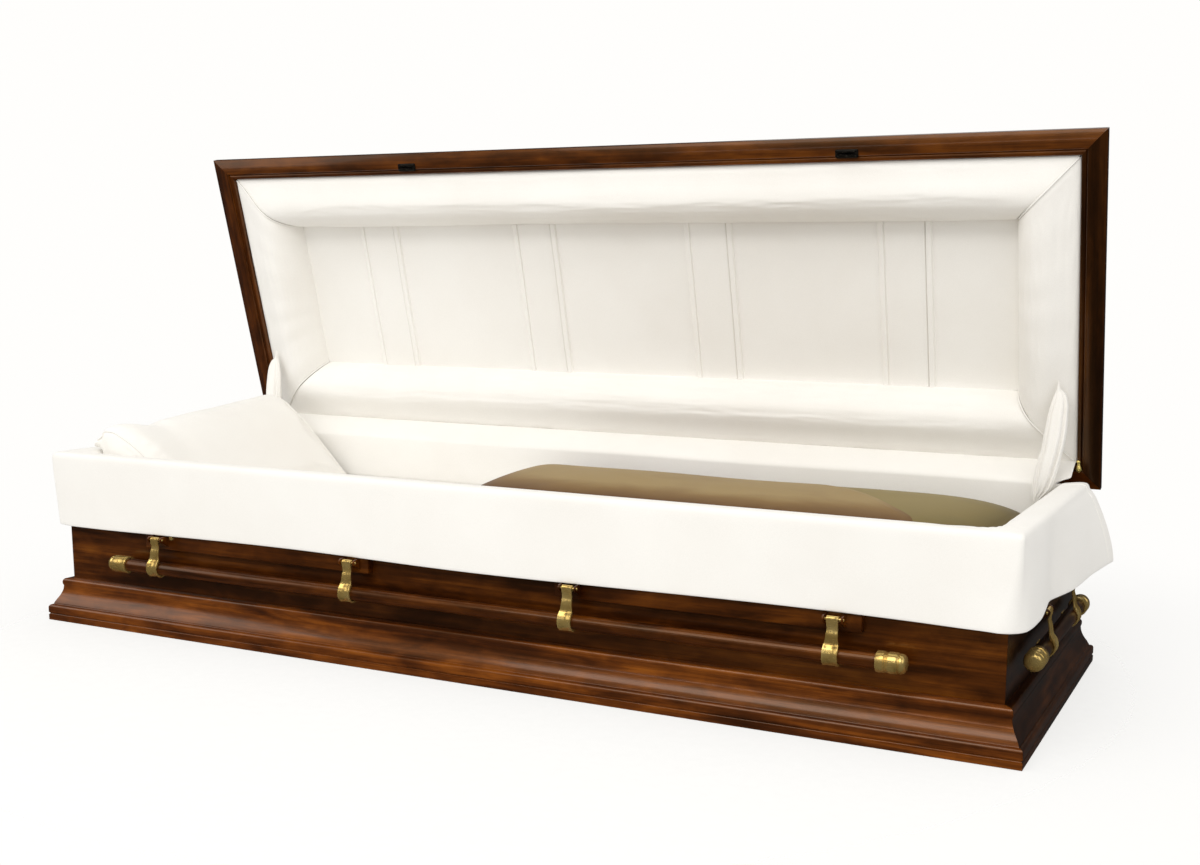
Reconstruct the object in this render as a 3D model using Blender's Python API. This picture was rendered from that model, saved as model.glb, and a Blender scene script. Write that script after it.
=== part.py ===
# Full-couch wooden casket with its lid open. Metres, Z up, origin on the floor under the centre of the base.
# X runs from the head end to the foot end, the front side faces -Y.
import math

import bmesh
import bpy
from mathutils import Matrix, Vector

GAP = 0.0003
MITRE = 0.00022

# The body box: half its length and half its width over the side boards, and the height of its rim.
BOARD_X, BOARD_Y = 1.0257, 0.3162
BOARD_T = 0.022
RIM_Z = 0.366
RIM_OUT = 0.017
PLINTH_OUT = 0.0393
BASE_X, BASE_Y = BOARD_X + PLINTH_OUT, BOARD_Y + PLINTH_OUT
FLOOR_T = 0.018
DECK_T = 0.012
DECK_Z = 0.162
MATTRESS_T = 0.100
BED_Z = DECK_Z + MATTRESS_T
LINING_T = 0.006
FIT = 0.0004
LINING_X, LINING_Y = BOARD_X - BOARD_T - FIT, BOARD_Y - BOARD_T - FIT
BED_X, BED_Y = LINING_X - LINING_T - 0.0006, LINING_Y - LINING_T - 0.0006

OVERLAY_T = 0.005
OVERLAY_DROP = 0.151
OVERLAY_HEM_Z = RIM_Z - OVERLAY_DROP
OVERLAY_TOP_Z = RIM_Z + 0.0005 + OVERLAY_T
OVERLAY_BACK_Y = BOARD_Y - 0.0142
OVERLAY_FLARE = 0.046

# The hinge: its pin lies behind the rim, a little below it.
LEAF_T = 0.0009
KNUCKLE_R, KNUCKLE_BORE, HINGE_PIN_R = 0.0042, 0.0023, 0.0018
LEAF_Y = BOARD_Y + RIM_OUT + 0.0002
HINGE_Y = LEAF_Y + LEAF_T + FIT + KNUCKLE_R
HINGE_Z = RIM_Z - 0.0081
HINGE_HALF = BOARD_X - 0.0657
KNUCKLES = 9

LID_OUT_X, LID_OUT_Y = 0.0349, 0.03515
LID_X, LID_Y = BOARD_X + LID_OUT_X, BOARD_Y + LID_OUT_Y
LID_LIFT = 0.0085
LID_Z = RIM_Z + LID_LIFT
LID_OPEN = math.radians(76.4)
RAIL_W = 0.0475
RAIL_H = 0.062
CROWN_H = 0.172
ROLL_W = 0.178
PANEL_H = 0.0735
PANEL_T = 0.005
BAND_X = (-0.654, -0.218, 0.218, 0.654)
BAND_W = 0.075
LATCH_X = (-0.489, 0.564)
LATCH_L, LATCH_W, LATCH_T, LATCH_IN = 0.0474, 0.017, 0.0015, 0.0307

PIVOT_Z = 0.205
ARM_DROP = 0.0605
BAR_R = 0.0135
CAP_R = 0.018
CAP_L = 0.050
ARM_W = 0.0270
PIN_R = 0.0026
SIDE_PIVOT = 0.030
END_PIVOT = 0.027
LONG_HALF_BAR, END_HALF_BAR = 0.8725, 0.245
BAR_OVERHANG, ARM_SPACING = 0.127, 0.500
OUTER_ARM, END_ARM = LONG_HALF_BAR - BAR_OVERHANG, END_HALF_BAR - 0.125
INNER_ARM = OUTER_ARM - ARM_SPACING
LONG_ARMS = (-OUTER_ARM, -INNER_ARM, INNER_ARM, OUTER_ARM)
END_ARMS = (-END_ARM, END_ARM)
STRIP_IN, STRIP_OUT, END_STRIP = INNER_ARM - 0.0365, OUTER_ARM + 0.0445, END_ARM + 0.05
STRIP_T, END_STRIP_T = 0.015, 0.012

# The pillow leans on the head end: its foot edge and its head edge, from the head end and above the bed.
PILLOW_LOW, PILLOW_LOW_Z = 0.2747, 0.022
PILLOW_HIGH, PILLOW_HIGH_Z = 0.0387, 0.162
PILLOW_SIDE, PILLOW_FACE, PILLOW_BACK = 0.0172, 0.030, 0.075

WOOD = "mahogany"
PLAIN_WOOD = "plain_wood"
BRASS = "brass"
BLACK = "black_metal"
CLOTH = "white_cloth"
TICKING = "ticking"
SATIN = "taupe_satin"

COLOURS = {
    WOOD: ((0.105, 0.030, 0.012, 1), 0.0, 0.22),
    PLAIN_WOOD: ((0.45, 0.30, 0.17, 1), 0.0, 0.6),
    BRASS: ((0.58, 0.40, 0.15, 1), 1.0, 0.28),
    BLACK: ((0.02, 0.016, 0.012, 1), 0.8, 0.4),
    CLOTH: ((0.90, 0.88, 0.84, 1), 0.0, 0.8),
    TICKING: ((0.88, 0.87, 0.84, 1), 0.0, 0.85),
    SATIN: ((0.30, 0.22, 0.14, 1), 0.0, 0.45),
}

for old in list(bpy.data.objects):
    bpy.data.objects.remove(old)

parts = bpy.data.collections.new("funeral_casket")
helpers = bpy.data.collections.new("helpers")
bpy.context.scene.collection.children.link(parts)
bpy.context.scene.collection.children.link(helpers)
helpers.hide_render = True


def material(name):
    found = bpy.data.materials.get(name)
    if found:
        return found
    made = bpy.data.materials.new(name)
    made.use_nodes = True
    shader = made.node_tree.nodes["Principled BSDF"]
    colour, metallic, roughness = COLOURS[name]
    shader.inputs["Base Color"].default_value = colour
    shader.inputs["Metallic"].default_value = metallic
    shader.inputs["Roughness"].default_value = roughness
    made.diffuse_color = colour
    return made


def add(name, points, faces, slot, where=None):
    mesh = bpy.data.meshes.new(name)
    mesh.from_pydata([tuple(p) for p in points], [], faces)
    bm = bmesh.new()
    bm.from_mesh(mesh)
    bmesh.ops.recalc_face_normals(bm, faces=bm.faces)
    if bm.calc_volume(signed=True) < 0:
        bmesh.ops.reverse_faces(bm, faces=bm.faces)
    bm.to_mesh(mesh)
    bm.free()
    obj = bpy.data.objects.new(name, mesh)
    mesh.materials.append(material(slot))
    (where or parts).objects.link(obj)
    return obj


def loft(rings, closed_path=False):
    """Points and faces of a tube through rings of equal length, with a cap at each end."""
    n = len(rings[0])
    points = [p for ring in rings for p in ring]
    faces = []
    count = len(rings)
    for k in range(count if closed_path else count - 1):
        a, b = k * n, ((k + 1) % count) * n
        for i in range(n):
            j = (i + 1) % n
            faces.append((a + i, a + j, b + j, b + i))
    if not closed_path:
        faces.append(tuple(range(n)))
        faces.append(tuple(range((count - 1) * n, count * n)))
    return points, faces


def joined(shapes):
    points, faces = [], []
    for shape_points, shape_faces in shapes:
        start = len(points)
        points += list(shape_points)
        faces += [tuple(start + i for i in face) for face in shape_faces]
    return points, faces


def box(low, high):
    (x0, y0, z0), (x1, y1, z1) = low, high
    return loft([[(x0, y, z), (x1, y, z), (x1, y, w), (x0, y, w)] for y, z, w in ((y0, z0, z1), (y1, z0, z1))])


def lathe(profile, centre, axis, steps=16):
    """Solid turned about an axis: profile is (distance along, radius), from one pole to the other."""
    axis = Vector(axis)
    side = Vector((0, 0, 1))
    other = axis.cross(side)
    points, faces, rows = [], [], []
    for along, radius in profile:
        middle = Vector(centre) + axis * along
        if radius < 1e-9:
            rows.append([len(points)])
            points.append(middle)
            continue
        rows.append(list(range(len(points), len(points) + steps)))
        for k in range(steps):
            a = 2 * math.pi * k / steps
            points.append(middle + (side * math.cos(a) + other * math.sin(a)) * radius)
    for low, high in zip(rows, rows[1:]):
        for k in range(steps):
            j = (k + 1) % steps
            if len(low) == 1:
                faces.append((low[0], high[j], high[k]))
            elif len(high) == 1:
                faces.append((low[k], low[j], high[0]))
            else:
                faces.append((low[k], low[j], high[j], high[k]))
    return points, faces


def tube(x0, x1, y, z, outer, inner, steps=10):
    """Short tube along X."""
    rings = []
    for x, radius in ((x0, outer), (x1, outer), (x1, inner), (x0, inner)):
        rings.append([
            (x, y + radius * math.cos(2 * math.pi * k / steps), z + radius * math.sin(2 * math.pi * k / steps))
            for k in range(steps)
        ])
    return loft(rings, closed_path=True)


def rod(x0, x1, y, z, radius, steps=10):
    return lathe([(0, 0), (0, radius), (x1 - x0, radius), (x1 - x0, 0)], (x0, y, z), (1, 0, 0), steps)


def unite(name, shapes, slot):
    """One solid from shapes that run into each other."""
    obj = add(name, *shapes[0], slot)
    for k, shape in enumerate(shapes[1:]):
        helper = add(f"{name}_join_{k}", *shape, slot, helpers)
        helper.hide_render = True
        helper.display_type = "WIRE"
        union = obj.modifiers.new(f"join_{k}", "BOOLEAN")
        union.operation = "UNION"
        union.solver = "EXACT"
        union.object = helper
    return obj


def swing_open(point):
    """A point of the closed lid, turned up to the open rest position."""
    y, z = point[1] - HINGE_Y, point[2] - HINGE_Z
    c, s = math.cos(LID_OPEN), math.sin(LID_OPEN)
    return Vector((point[0], HINGE_Y + y * c + z * s, HINGE_Z - y * s + z * c))


def opened(shape):
    return [swing_open(p) for p in shape[0]], shape[1]


def mitred(profile, half_x, half_y, side, lift=0.0):
    """One side of a mitred frame. The profile is (inset from the outer edge, height)."""
    rings = []
    for end in (-1, 1):
        ring = []
        for inset, height in profile:
            x, y = half_x - inset, half_y - inset
            if side in ("front", "back"):
                ring.append((end * (x - MITRE), -y if side == "front" else y, lift + height))
            else:
                ring.append((-x if side == "head" else x, end * (y - MITRE), lift + height))
        rings.append(ring)
    return loft(rings)


def frame_ring(profile, half_x, half_y, lift=0.0):
    """A whole rectangular ring with mitred corners, as one solid."""
    corners = []
    for sx, sy in ((-1, -1), (1, -1), (1, 1), (-1, 1)):
        corners.append([(sx * (half_x - d), sy * (half_y - d), lift + h) for d, h in profile])
    return loft(corners, closed_path=True)


SIDES = ("front", "back", "head", "foot")

# Base moulding: flat band, groove, bead, cove and rounded lip.
BASE_PROFILE = [
    (0.0, 0.0), (0.0, 0.0125), (0.0020, 0.0138), (0.0020, 0.0152), (0.0, 0.0166), (0.0, 0.0275),
    (0.0008, 0.0308), (0.0030, 0.0332), (0.0064, 0.0342), (0.0078, 0.0346), (0.0086, 0.0375),
    (0.0116, 0.0430), (0.0158, 0.0500), (0.0198, 0.0580), (0.0226, 0.0665), (0.0238, 0.0750),
    (0.0226, 0.0790), (0.0222, 0.0835), (0.0234, 0.0876), (0.0262, 0.0902), (0.0300, 0.0911),
    (BASE_X - BOARD_X - GAP, 0.0911), (BASE_X - BOARD_X - GAP, 0.0),
]
for side in SIDES:
    add(f"base_moulding_{side}", *mitred(BASE_PROFILE, BASE_X, BASE_Y, side), WOOD)

add("floor_board", *box((-BOARD_X, -BOARD_Y, 0), (BOARD_X, BOARD_Y, FLOOR_T)), PLAIN_WOOD)

# Side boards, each with the rim moulding along its top edge.
BOARD_PROFILE = [
    (0.0, FLOOR_T + GAP), (0.0, RIM_Z - 0.0440), (-RIM_OUT + 0.0148, RIM_Z - 0.0360),
    (-RIM_OUT + 0.0100, RIM_Z - 0.0295), (-RIM_OUT + 0.0045, RIM_Z - 0.0260), (-RIM_OUT + 0.0010, RIM_Z - 0.0248),
    (-RIM_OUT, RIM_Z - 0.0230), (-RIM_OUT, RIM_Z - 0.002), (-RIM_OUT + 0.002, RIM_Z),
    (BOARD_T, RIM_Z), (BOARD_T, FLOOR_T + GAP),
]
for side in SIDES:
    add(f"side_board_{side}", *mitred(BOARD_PROFILE, BOARD_X, BOARD_Y, side), WOOD)

# Bed frame: a deck on two long runners, under the mattress.
deck = box((-LINING_X, -LINING_Y, DECK_Z - DECK_T), (LINING_X, LINING_Y, DECK_Z))
RUNNER_IN, RUNNER_Y, RUNNER_HALF = 0.06, LINING_Y - 0.0938, 0.02
runners = []
for y in (-RUNNER_Y, RUNNER_Y):
    low = (-LINING_X + RUNNER_IN, y - RUNNER_HALF, FLOOR_T + GAP)
    runners.append(box(low, (LINING_X - RUNNER_IN, y + RUNNER_HALF, DECK_Z - DECK_T / 2)))
unite("bed_frame", [deck] + runners, PLAIN_WOOD)

LINING_PROFILE = [(0, DECK_Z + GAP), (0, RIM_Z - 0.0005), (LINING_T, RIM_Z - 0.0005), (LINING_T, DECK_Z + GAP)]
add("body_lining", *frame_ring(LINING_PROFILE, LINING_X, LINING_Y), CLOTH)


def cushion(half_x, half_y, low, high, edge, centre_x=0.0, centre_y=0.0):
    """A block with rounded edges, as rings stacked in Z."""
    rings = []
    steps = 4
    for k in range(steps + 1):
        a = math.pi / 2 * k / steps
        rings.append((edge * (1 - math.sin(a)), low + edge * (1 - math.cos(a))))
    for k in range(steps + 1):
        a = math.pi / 2 * k / steps
        rings.append((edge * (1 - math.cos(a)), high - edge * (1 - math.sin(a))))
    made = []
    for inset, z in rings:
        ring = []
        radius = edge * 1.4
        for sx, sy, start in ((1, 1, 0), (-1, 1, 90), (-1, -1, 180), (1, -1, 270)):
            for k in range(4):
                a = math.radians(start + 30 * k)
                x = centre_x + sx * (half_x - radius) + (radius - inset) * math.cos(a)
                y = centre_y + sy * (half_y - radius) + (radius - inset) * math.sin(a)
                ring.append((x, y, z))
        made.append(ring)
    return loft(made)


add("mattress", *cushion(BED_X, BED_Y, DECK_Z + GAP, BED_Z, 0.018), TICKING)


def pillow():
    """A plump pillow leaning on the head end, two faces that meet along a seam."""
    across, along = 14, 9
    top, bottom = [], []
    low_x, low_z = -BED_X + PILLOW_LOW, BED_Z + PILLOW_LOW_Z
    half_y = BED_Y - PILLOW_SIDE
    for j in range(along + 1):
        v = j / along
        for i in range(across + 1):
            u = i / across
            y = half_y * (2 * u - 1)
            high_x, high_z = -BED_X + PILLOW_HIGH, BED_Z + PILLOW_HIGH_Z + 0.022 * u
            middle = Vector((low_x + (high_x - low_x) * v, y, low_z + (high_z - low_z) * v))
            middle.y *= 1 - 0.05 * math.sin(math.pi * v) ** 2
            normal = Vector((0.56, 0, 0.83))
            full = max(0.0, (1 - (2 * u - 1) ** 4) * (1 - (2 * v - 1) ** 4)) ** 0.5
            face = middle + normal * PILLOW_FACE * full
            back = middle - normal * (PILLOW_FACE + PILLOW_BACK * math.sin(math.pi * v)) * full
            back.x = max(back.x, -BED_X + 0.0064)
            back.z = max(back.z, BED_Z + GAP)
            top.append(face)
            bottom.append(back)
    columns = across + 1
    points = list(top)
    index = {}
    for j in range(along + 1):
        for i in range(columns):
            rim = j in (0, along) or i in (0, across)
            if rim:
                index[i, j] = j * columns + i
            else:
                index[i, j] = len(points)
                points.append(bottom[j * columns + i])
    faces = []
    for j in range(along):
        for i in range(across):
            a = j * columns + i
            faces.append((a, a + 1, a + 1 + columns, a + columns))
            faces.append((index[i, j], index[i, j + 1], index[i + 1, j + 1], index[i + 1, j]))
    return points, faces


add("pillow", *pillow(), CLOTH)


THROW_HEAD_X, THROW_HEAD_RISE, THROW_FOOT_FALL = -0.152, 0.122, 0.256


def foot_throw():
    """A satin cover laid over the foot half of the bed, domed along its length."""
    low, edge, height = BED_Z + GAP, 0.011, 0.080
    x_low, x_high = THROW_HEAD_X, BED_X - 0.0167
    head_full, foot_full = x_low + THROW_HEAD_RISE, x_high - THROW_FOOT_FALL
    ridge_y, y_low, y_high = BED_Y - 0.1922, -BED_Y + 0.0252, BED_Y - 0.0152
    xs = [x_low + THROW_HEAD_RISE * k for k in (0, 0.05, 0.15, 0.30, 0.50, 0.75, 1)]
    xs += [head_full + (foot_full - head_full) * k for k in (0.33, 0.67, 1)]
    xs += [foot_full + THROW_FOOT_FALL * k for k in (0.25, 0.50, 0.70, 0.86, 0.95, 1)]
    ys = [y_low + (ridge_y - y_low) * k for k in (0, 0.035, 0.10, 0.23, 0.40, 0.60, 0.82, 1)]
    ys += [ridge_y + (y_high - ridge_y) * k for k in (0.30, 0.60, 0.82, 0.94, 1)]

    def across(y):
        half = (ridge_y - y_low) if y < ridge_y else (y_high - ridge_y)
        return max(0.0, 1 - (abs(y - ridge_y) / half) ** 2.3) ** 0.62

    def along(x):
        if x < head_full:
            return max(0.0, 1 - ((head_full - x) / THROW_HEAD_RISE) ** 4.2) ** 0.7
        if x > foot_full:
            return max(0.0, 1 - ((x - foot_full) / THROW_FOOT_FALL) ** 2.8) ** 0.37
        return 1.0

    points, faces = [], []
    rows, columns = len(ys), len(xs)
    for y in ys:
        for x in xs:
            points.append((x, y, low + edge + height * across(y) * along(x)))
    for y in ys:
        for x in xs:
            points.append((x, y, low))
    under = rows * columns
    for j in range(rows - 1):
        for i in range(columns - 1):
            a = j * columns + i
            faces.append((a, a + 1, a + 1 + columns, a + columns))
            faces.append((under + a, under + a + columns, under + a + 1 + columns, under + a + 1))
    border = [i for i in range(columns)]
    border += [j * columns + columns - 1 for j in range(1, rows)]
    border += [(rows - 1) * columns + i for i in range(columns - 2, -1, -1)]
    border += [j * columns for j in range(rows - 2, 0, -1)]
    for a, b in zip(border, border[1:] + border[:1]):
        faces.append((a, under + a, under + b, b))
    return points, faces


add("foot_throw", *foot_throw(), SATIN)


def overlay():
    """Cloth apron from inside the rim, over it and down the outside of the head end, the front and the foot end."""
    t, out, inside = OVERLAY_T, RIM_OUT + 0.0005, -(BOARD_T + LINING_T + 0.0012)
    top = OVERLAY_TOP_Z
    low, high, tuck = RIM_Z - 0.096, RIM_Z - 0.046, RIM_Z - 0.036
    section = [
        (out + t, OVERLAY_HEM_Z), (out + t, low), (out + t, high), (out + t, top - 0.0080),
        (out + t * 0.6, top - 0.0022), (out, top), (inside, top), (inside - t * 0.7, top - 0.0020),
        (inside - t, top - 0.0070), (inside - t, tuck), (inside, tuck), (inside, top - t), (out - 0.002, top - t),
        (out, top - t - 0.002), (out, high), (out, low), (out, OVERLAY_HEM_Z),
    ]

    def flare(s, z, amount):
        fall = max(0.0, (RIM_Z - 0.014 - z) / (OVERLAY_DROP - 0.014))
        return s + (amount * fall ** 1.1 if s > 0 else 0.0)

    def end_ring(end, y, amount):
        ring = []
        for s, z in section:
            s2 = flare(s, z, amount)
            limit = LINING_Y - LINING_T - 0.001 if s < -0.02 else OVERLAY_BACK_Y
            ring.append((end * (BOARD_X + s2), min(y, limit), z))
        return ring

    def corner_ring(end):
        return [(end * (BOARD_X + flare(s, z, 0.004)), -(BOARD_Y + flare(s, z, 0.004)), z) for s, z in section]

    def front_ring(x):
        return [(x, -(BOARD_Y + flare(s, z, 0.002)), z) for s, z in section]

    stations = [(1.0, 1.0), (0.54, 0.72), (0.06, 0.42), (-0.41, 0.16), (-0.82, 0.03)]
    rings = [end_ring(-1, BOARD_Y * y, OVERLAY_FLARE * f * 0.8) for y, f in stations]
    rings.append(corner_ring(-1))
    rings += [front_ring(BOARD_X * x) for x in (-0.68, 0.0, 0.68)]
    rings.append(corner_ring(1))
    rings += [end_ring(1, BOARD_Y * y, OVERLAY_FLARE * f) for y, f in reversed(stations)]
    return loft(rings)


add("overlay", *overlay(), CLOTH)


def sleeve(end):
    """Gathered cloth sleeve from inside the body up to the lid's padding."""
    spine = [
        (-0.0417, -0.0252, -0.036, 0.020, 0.009), (-0.0397, -0.0212, -0.006, 0.021, 0.010),
        (-0.0327, -0.0152, 0.034, 0.020, 0.010), (-0.0237, -0.0072, 0.074, 0.018, 0.009),
        (-0.0167, 0.0008, 0.114, 0.017, 0.009), (-0.0137, 0.0068, 0.146, 0.015, 0.008),
        (-0.0157, 0.0118, 0.172, 0.010, 0.006), (-0.0177, 0.0148, 0.190, 0.003, 0.003),
    ]
    rings = []
    for dx, dy, dz, wide, deep in spine:
        x, y, z = BED_X + dx, BED_Y + dy, RIM_Z + dz
        rings.append([
            (end * (x + wide * math.cos(2 * math.pi * k / 12)), y + deep * math.sin(2 * math.pi * k / 12), z)
            for k in range(12)
        ])
    return loft(rings)


add("stay_sleeve_head", *sleeve(-1), CLOTH)
add("stay_sleeve_foot", *sleeve(1), CLOTH)

# Cloth strip that covers the hinge line between the back lining and the lid's padding.
CURTAIN = [
    (-0.0277, 0.0004), (0.0038, 0.0208), (0.0293, 0.0362), (0.0278, 0.0388), (0.0023, 0.0236), (-0.0292, 0.0030),
]
CURTAIN_HALF = BOARD_X - 0.0407
add("hinge_cover", *loft([[(x, BOARD_Y + y, RIM_Z + z) for y, z in CURTAIN] for x in (-CURTAIN_HALF, CURTAIN_HALF)]), CLOTH)

# Long hinge behind the rim: a flat leaf on the body, an angled leaf under the lid's back rail, and a pin.
step = 2 * HINGE_HALF / KNUCKLES
body_leaf = [box((-HINGE_HALF, LEAF_Y, RIM_Z - 0.0205), (HINGE_HALF, LEAF_Y + LEAF_T, RIM_Z - 0.003))]
lid_leaf = [
    box((-HINGE_HALF, HINGE_Y - 0.0289, LID_Z - 0.0018), (HINGE_HALF, HINGE_Y + KNUCKLE_R, LID_Z - GAP)),
    box((-HINGE_HALF, HINGE_Y + 0.0025, HINGE_Z + 0.0052), (HINGE_HALF, HINGE_Y + KNUCKLE_R, LID_Z - 0.0010)),
]
for k in range(KNUCKLES):
    x0 = -HINGE_HALF + k * step + 0.0003
    x1 = -HINGE_HALF + (k + 1) * step - 0.0003
    if k % 2 == 0:
        body_leaf.append(rod(x0, x1, HINGE_Y, HINGE_Z, KNUCKLE_R))
        body_leaf.append(box((x0, LEAF_Y + LEAF_T / 2, HINGE_Z - 0.0030), (x1, HINGE_Y - 0.0030, HINGE_Z + 0.0030)))
    else:
        lid_leaf.append(tube(x0, x1, HINGE_Y, HINGE_Z, KNUCKLE_R, KNUCKLE_BORE))
        tab_low = (x0, HINGE_Y + 0.0029, HINGE_Z + 0.0005)
        lid_leaf.append(box(tab_low, (x1, HINGE_Y + KNUCKLE_R - 0.0002, HINGE_Z + 0.0060)))
body_leaf.append(rod(-HINGE_HALF + 0.001, HINGE_HALF - 0.001, HINGE_Y, HINGE_Z, HINGE_PIN_R, 8))
unite("hinge_leaf_body", body_leaf, BRASS)
unite("hinge_leaf_lid", [opened(shape) for shape in lid_leaf], BRASS)

# Lid: mitred rails with a stepped inner bead, a hollow crown, padded rolls and a recessed panel.
RAIL_PROFILE = [
    (0.0, 0.0), (0.0, 0.0140), (0.0014, 0.0175), (0.0045, 0.0195), (0.0070, 0.0200), (0.0074, 0.0240),
    (0.0092, 0.0320), (0.0134, 0.0405), (0.0192, 0.0475), (0.0262, 0.0522), (0.0320, 0.0540), (0.0320, RAIL_H),
    (RAIL_W, RAIL_H), (RAIL_W, 0.0065), (0.0462, 0.0042), (0.0430, 0.0032), (0.0390, 0.0036), (0.0368, 0.0046),
    (0.0354, 0.0040), (0.0352, 0.0),
]
for side in SIDES:
    add(f"lid_rail_{side}", *opened(mitred(RAIL_PROFILE, LID_X, LID_Y, side, LID_Z)), WOOD)


def crown():
    """Hollow crown: a nosing, a cove sweeping up, a step and a flat raised panel."""
    h = RAIL_H + GAP
    outer = [
        (RAIL_W + 0.001, h), (0.0262, h), (0.0236, 0.0655), (0.0236, 0.0690), (0.0262, 0.0718), (0.0320, 0.0735),
        (0.0450, 0.0790), (0.0640, 0.0920), (0.0850, 0.1100), (0.1080, 0.1290), (0.1290, 0.1430), (0.1450, 0.1500),
        (0.1500, 0.1510), (0.1500, 0.1560), (0.1530, 0.1640), (0.1600, 0.1700), (0.1700, CROWN_H),
    ]
    inner = [
        (RAIL_W + 0.001, 0.0740), (0.0640, 0.0840), (0.0900, 0.1040), (0.1150, 0.1220), (0.1400, 0.1360),
        (0.1580, 0.1420), (0.1650, 0.1600),
    ]
    signs = ((-1, -1), (1, -1), (1, 1), (-1, 1))
    chain = list(reversed(outer)) + inner
    rings = [[(sx * (LID_X - d), sy * (LID_Y - d), LID_Z + z) for sx, sy in signs] for d, z in chain]
    return loft(rings)


add("lid_crown", *opened(crown()), WOOD)

ROLL_PROFILE = [
    (RAIL_W + 0.0005, 0.0560), (RAIL_W + 0.0005, 0.0125), (0.0540, 0.0100), (0.0700, 0.0070), (0.0860, 0.0020),
    (0.1020, -0.0036), (0.1180, -0.0072), (0.1300, -0.0076), (0.1420, -0.0034), (0.1520, 0.0060), (0.1620, 0.0220),
    (0.1700, 0.0400), (0.1760, 0.0600), (ROLL_W, 0.0800), (0.1740, 0.0830), (0.1200, 0.0760),
]
add("lid_roll", *opened(frame_ring(ROLL_PROFILE, LID_X, LID_Y, LID_Z)), CLOTH)


def lid_panel():
    """Recessed cloth panel with four raised bands across it."""
    half_x, half_y = LID_X - ROLL_W - 0.0006, LID_Y - ROLL_W - 0.0006
    near, far = LID_Z + PANEL_H, LID_Z + PANEL_H + PANEL_T
    line = [(-half_x, far), (-half_x, near)]
    for x in BAND_X:
        a, b = x - BAND_W / 2, x + BAND_W / 2
        line += [(a - 0.014, near), (a - 0.010, near - 0.0022), (a, near - 0.0030), (b, near - 0.0030)]
        line += [(b + 0.010, near - 0.0022), (b + 0.014, near)]
    line += [(half_x, near), (half_x, far)]
    return loft([[(x, y, z) for x, z in line] for y in (-half_y, half_y)])


add("lid_panel", *opened(lid_panel()), CLOTH)

# Two dark latch plates let on to the lid's front rail.
for name, x in zip(("latch_plate_head", "latch_plate_foot"), LATCH_X):
    y = -LID_Y + LATCH_IN
    low = (x - LATCH_L / 2, y - LATCH_W / 2, LID_Z - GAP - LATCH_T)
    add(name, *opened(box(low, (x + LATCH_L / 2, y + LATCH_W / 2, LID_Z - GAP))), BLACK)


def arc(centre, radius, start, end, steps):
    return [
        (
            centre[0] + radius * math.cos(math.radians(start + (end - start) * k / steps)),
            centre[1] + radius * math.sin(math.radians(start + (end - start) * k / steps)),
        )
        for k in range(steps + 1)
    ]


def arm_outline():
    """Side view of a handle arm, as (out from the body, up) from its pivot: rolled eye, strap, neck and bar cradle."""
    t = 0.0026
    eye_in = PIN_R + 0.0006
    eye_out = eye_in + t
    bar = (0.0, -ARM_DROP)
    grip_in = BAR_R + 0.0004
    outline = arc((0, 0), eye_in, 315, 0, 9)
    outline += [(eye_in - 0.0002, -0.0120), (eye_in - 0.0018, -0.0230), (eye_in - 0.0018, -0.0330), (0.0035, -0.0420)]
    outline += arc(bar, grip_in, 62, -205, 11)
    outline += arc(bar, grip_in + t, -205, -125, 3)
    outline += [(-0.0068, -ARM_DROP - 0.0225), (0.0030, -ARM_DROP - 0.0238), (0.0118, -ARM_DROP - 0.0205)]
    outline += [(0.0166, -ARM_DROP - 0.0110), (0.0174, -ARM_DROP), (0.0160, -ARM_DROP + 0.0100)]
    outline += [(0.0108, -ARM_DROP + 0.0180), (0.0052, -0.0335), (0.0050, -0.0230), (0.0068, -0.0120)]
    return outline + arc((0, 0), eye_out, 0, 315, 9)


def arm_shape(place, width):
    rings = []
    for side in (-1, 1):
        ring = []
        for out, up in arm_outline():
            if up > -0.010:
                half = width * 0.46
            elif up > -0.042:
                half = width * 0.36
            else:
                half = width * 0.5
            ring.append(place(out, side * half, up))
        rings.append(ring)
    return loft(rings)


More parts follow.
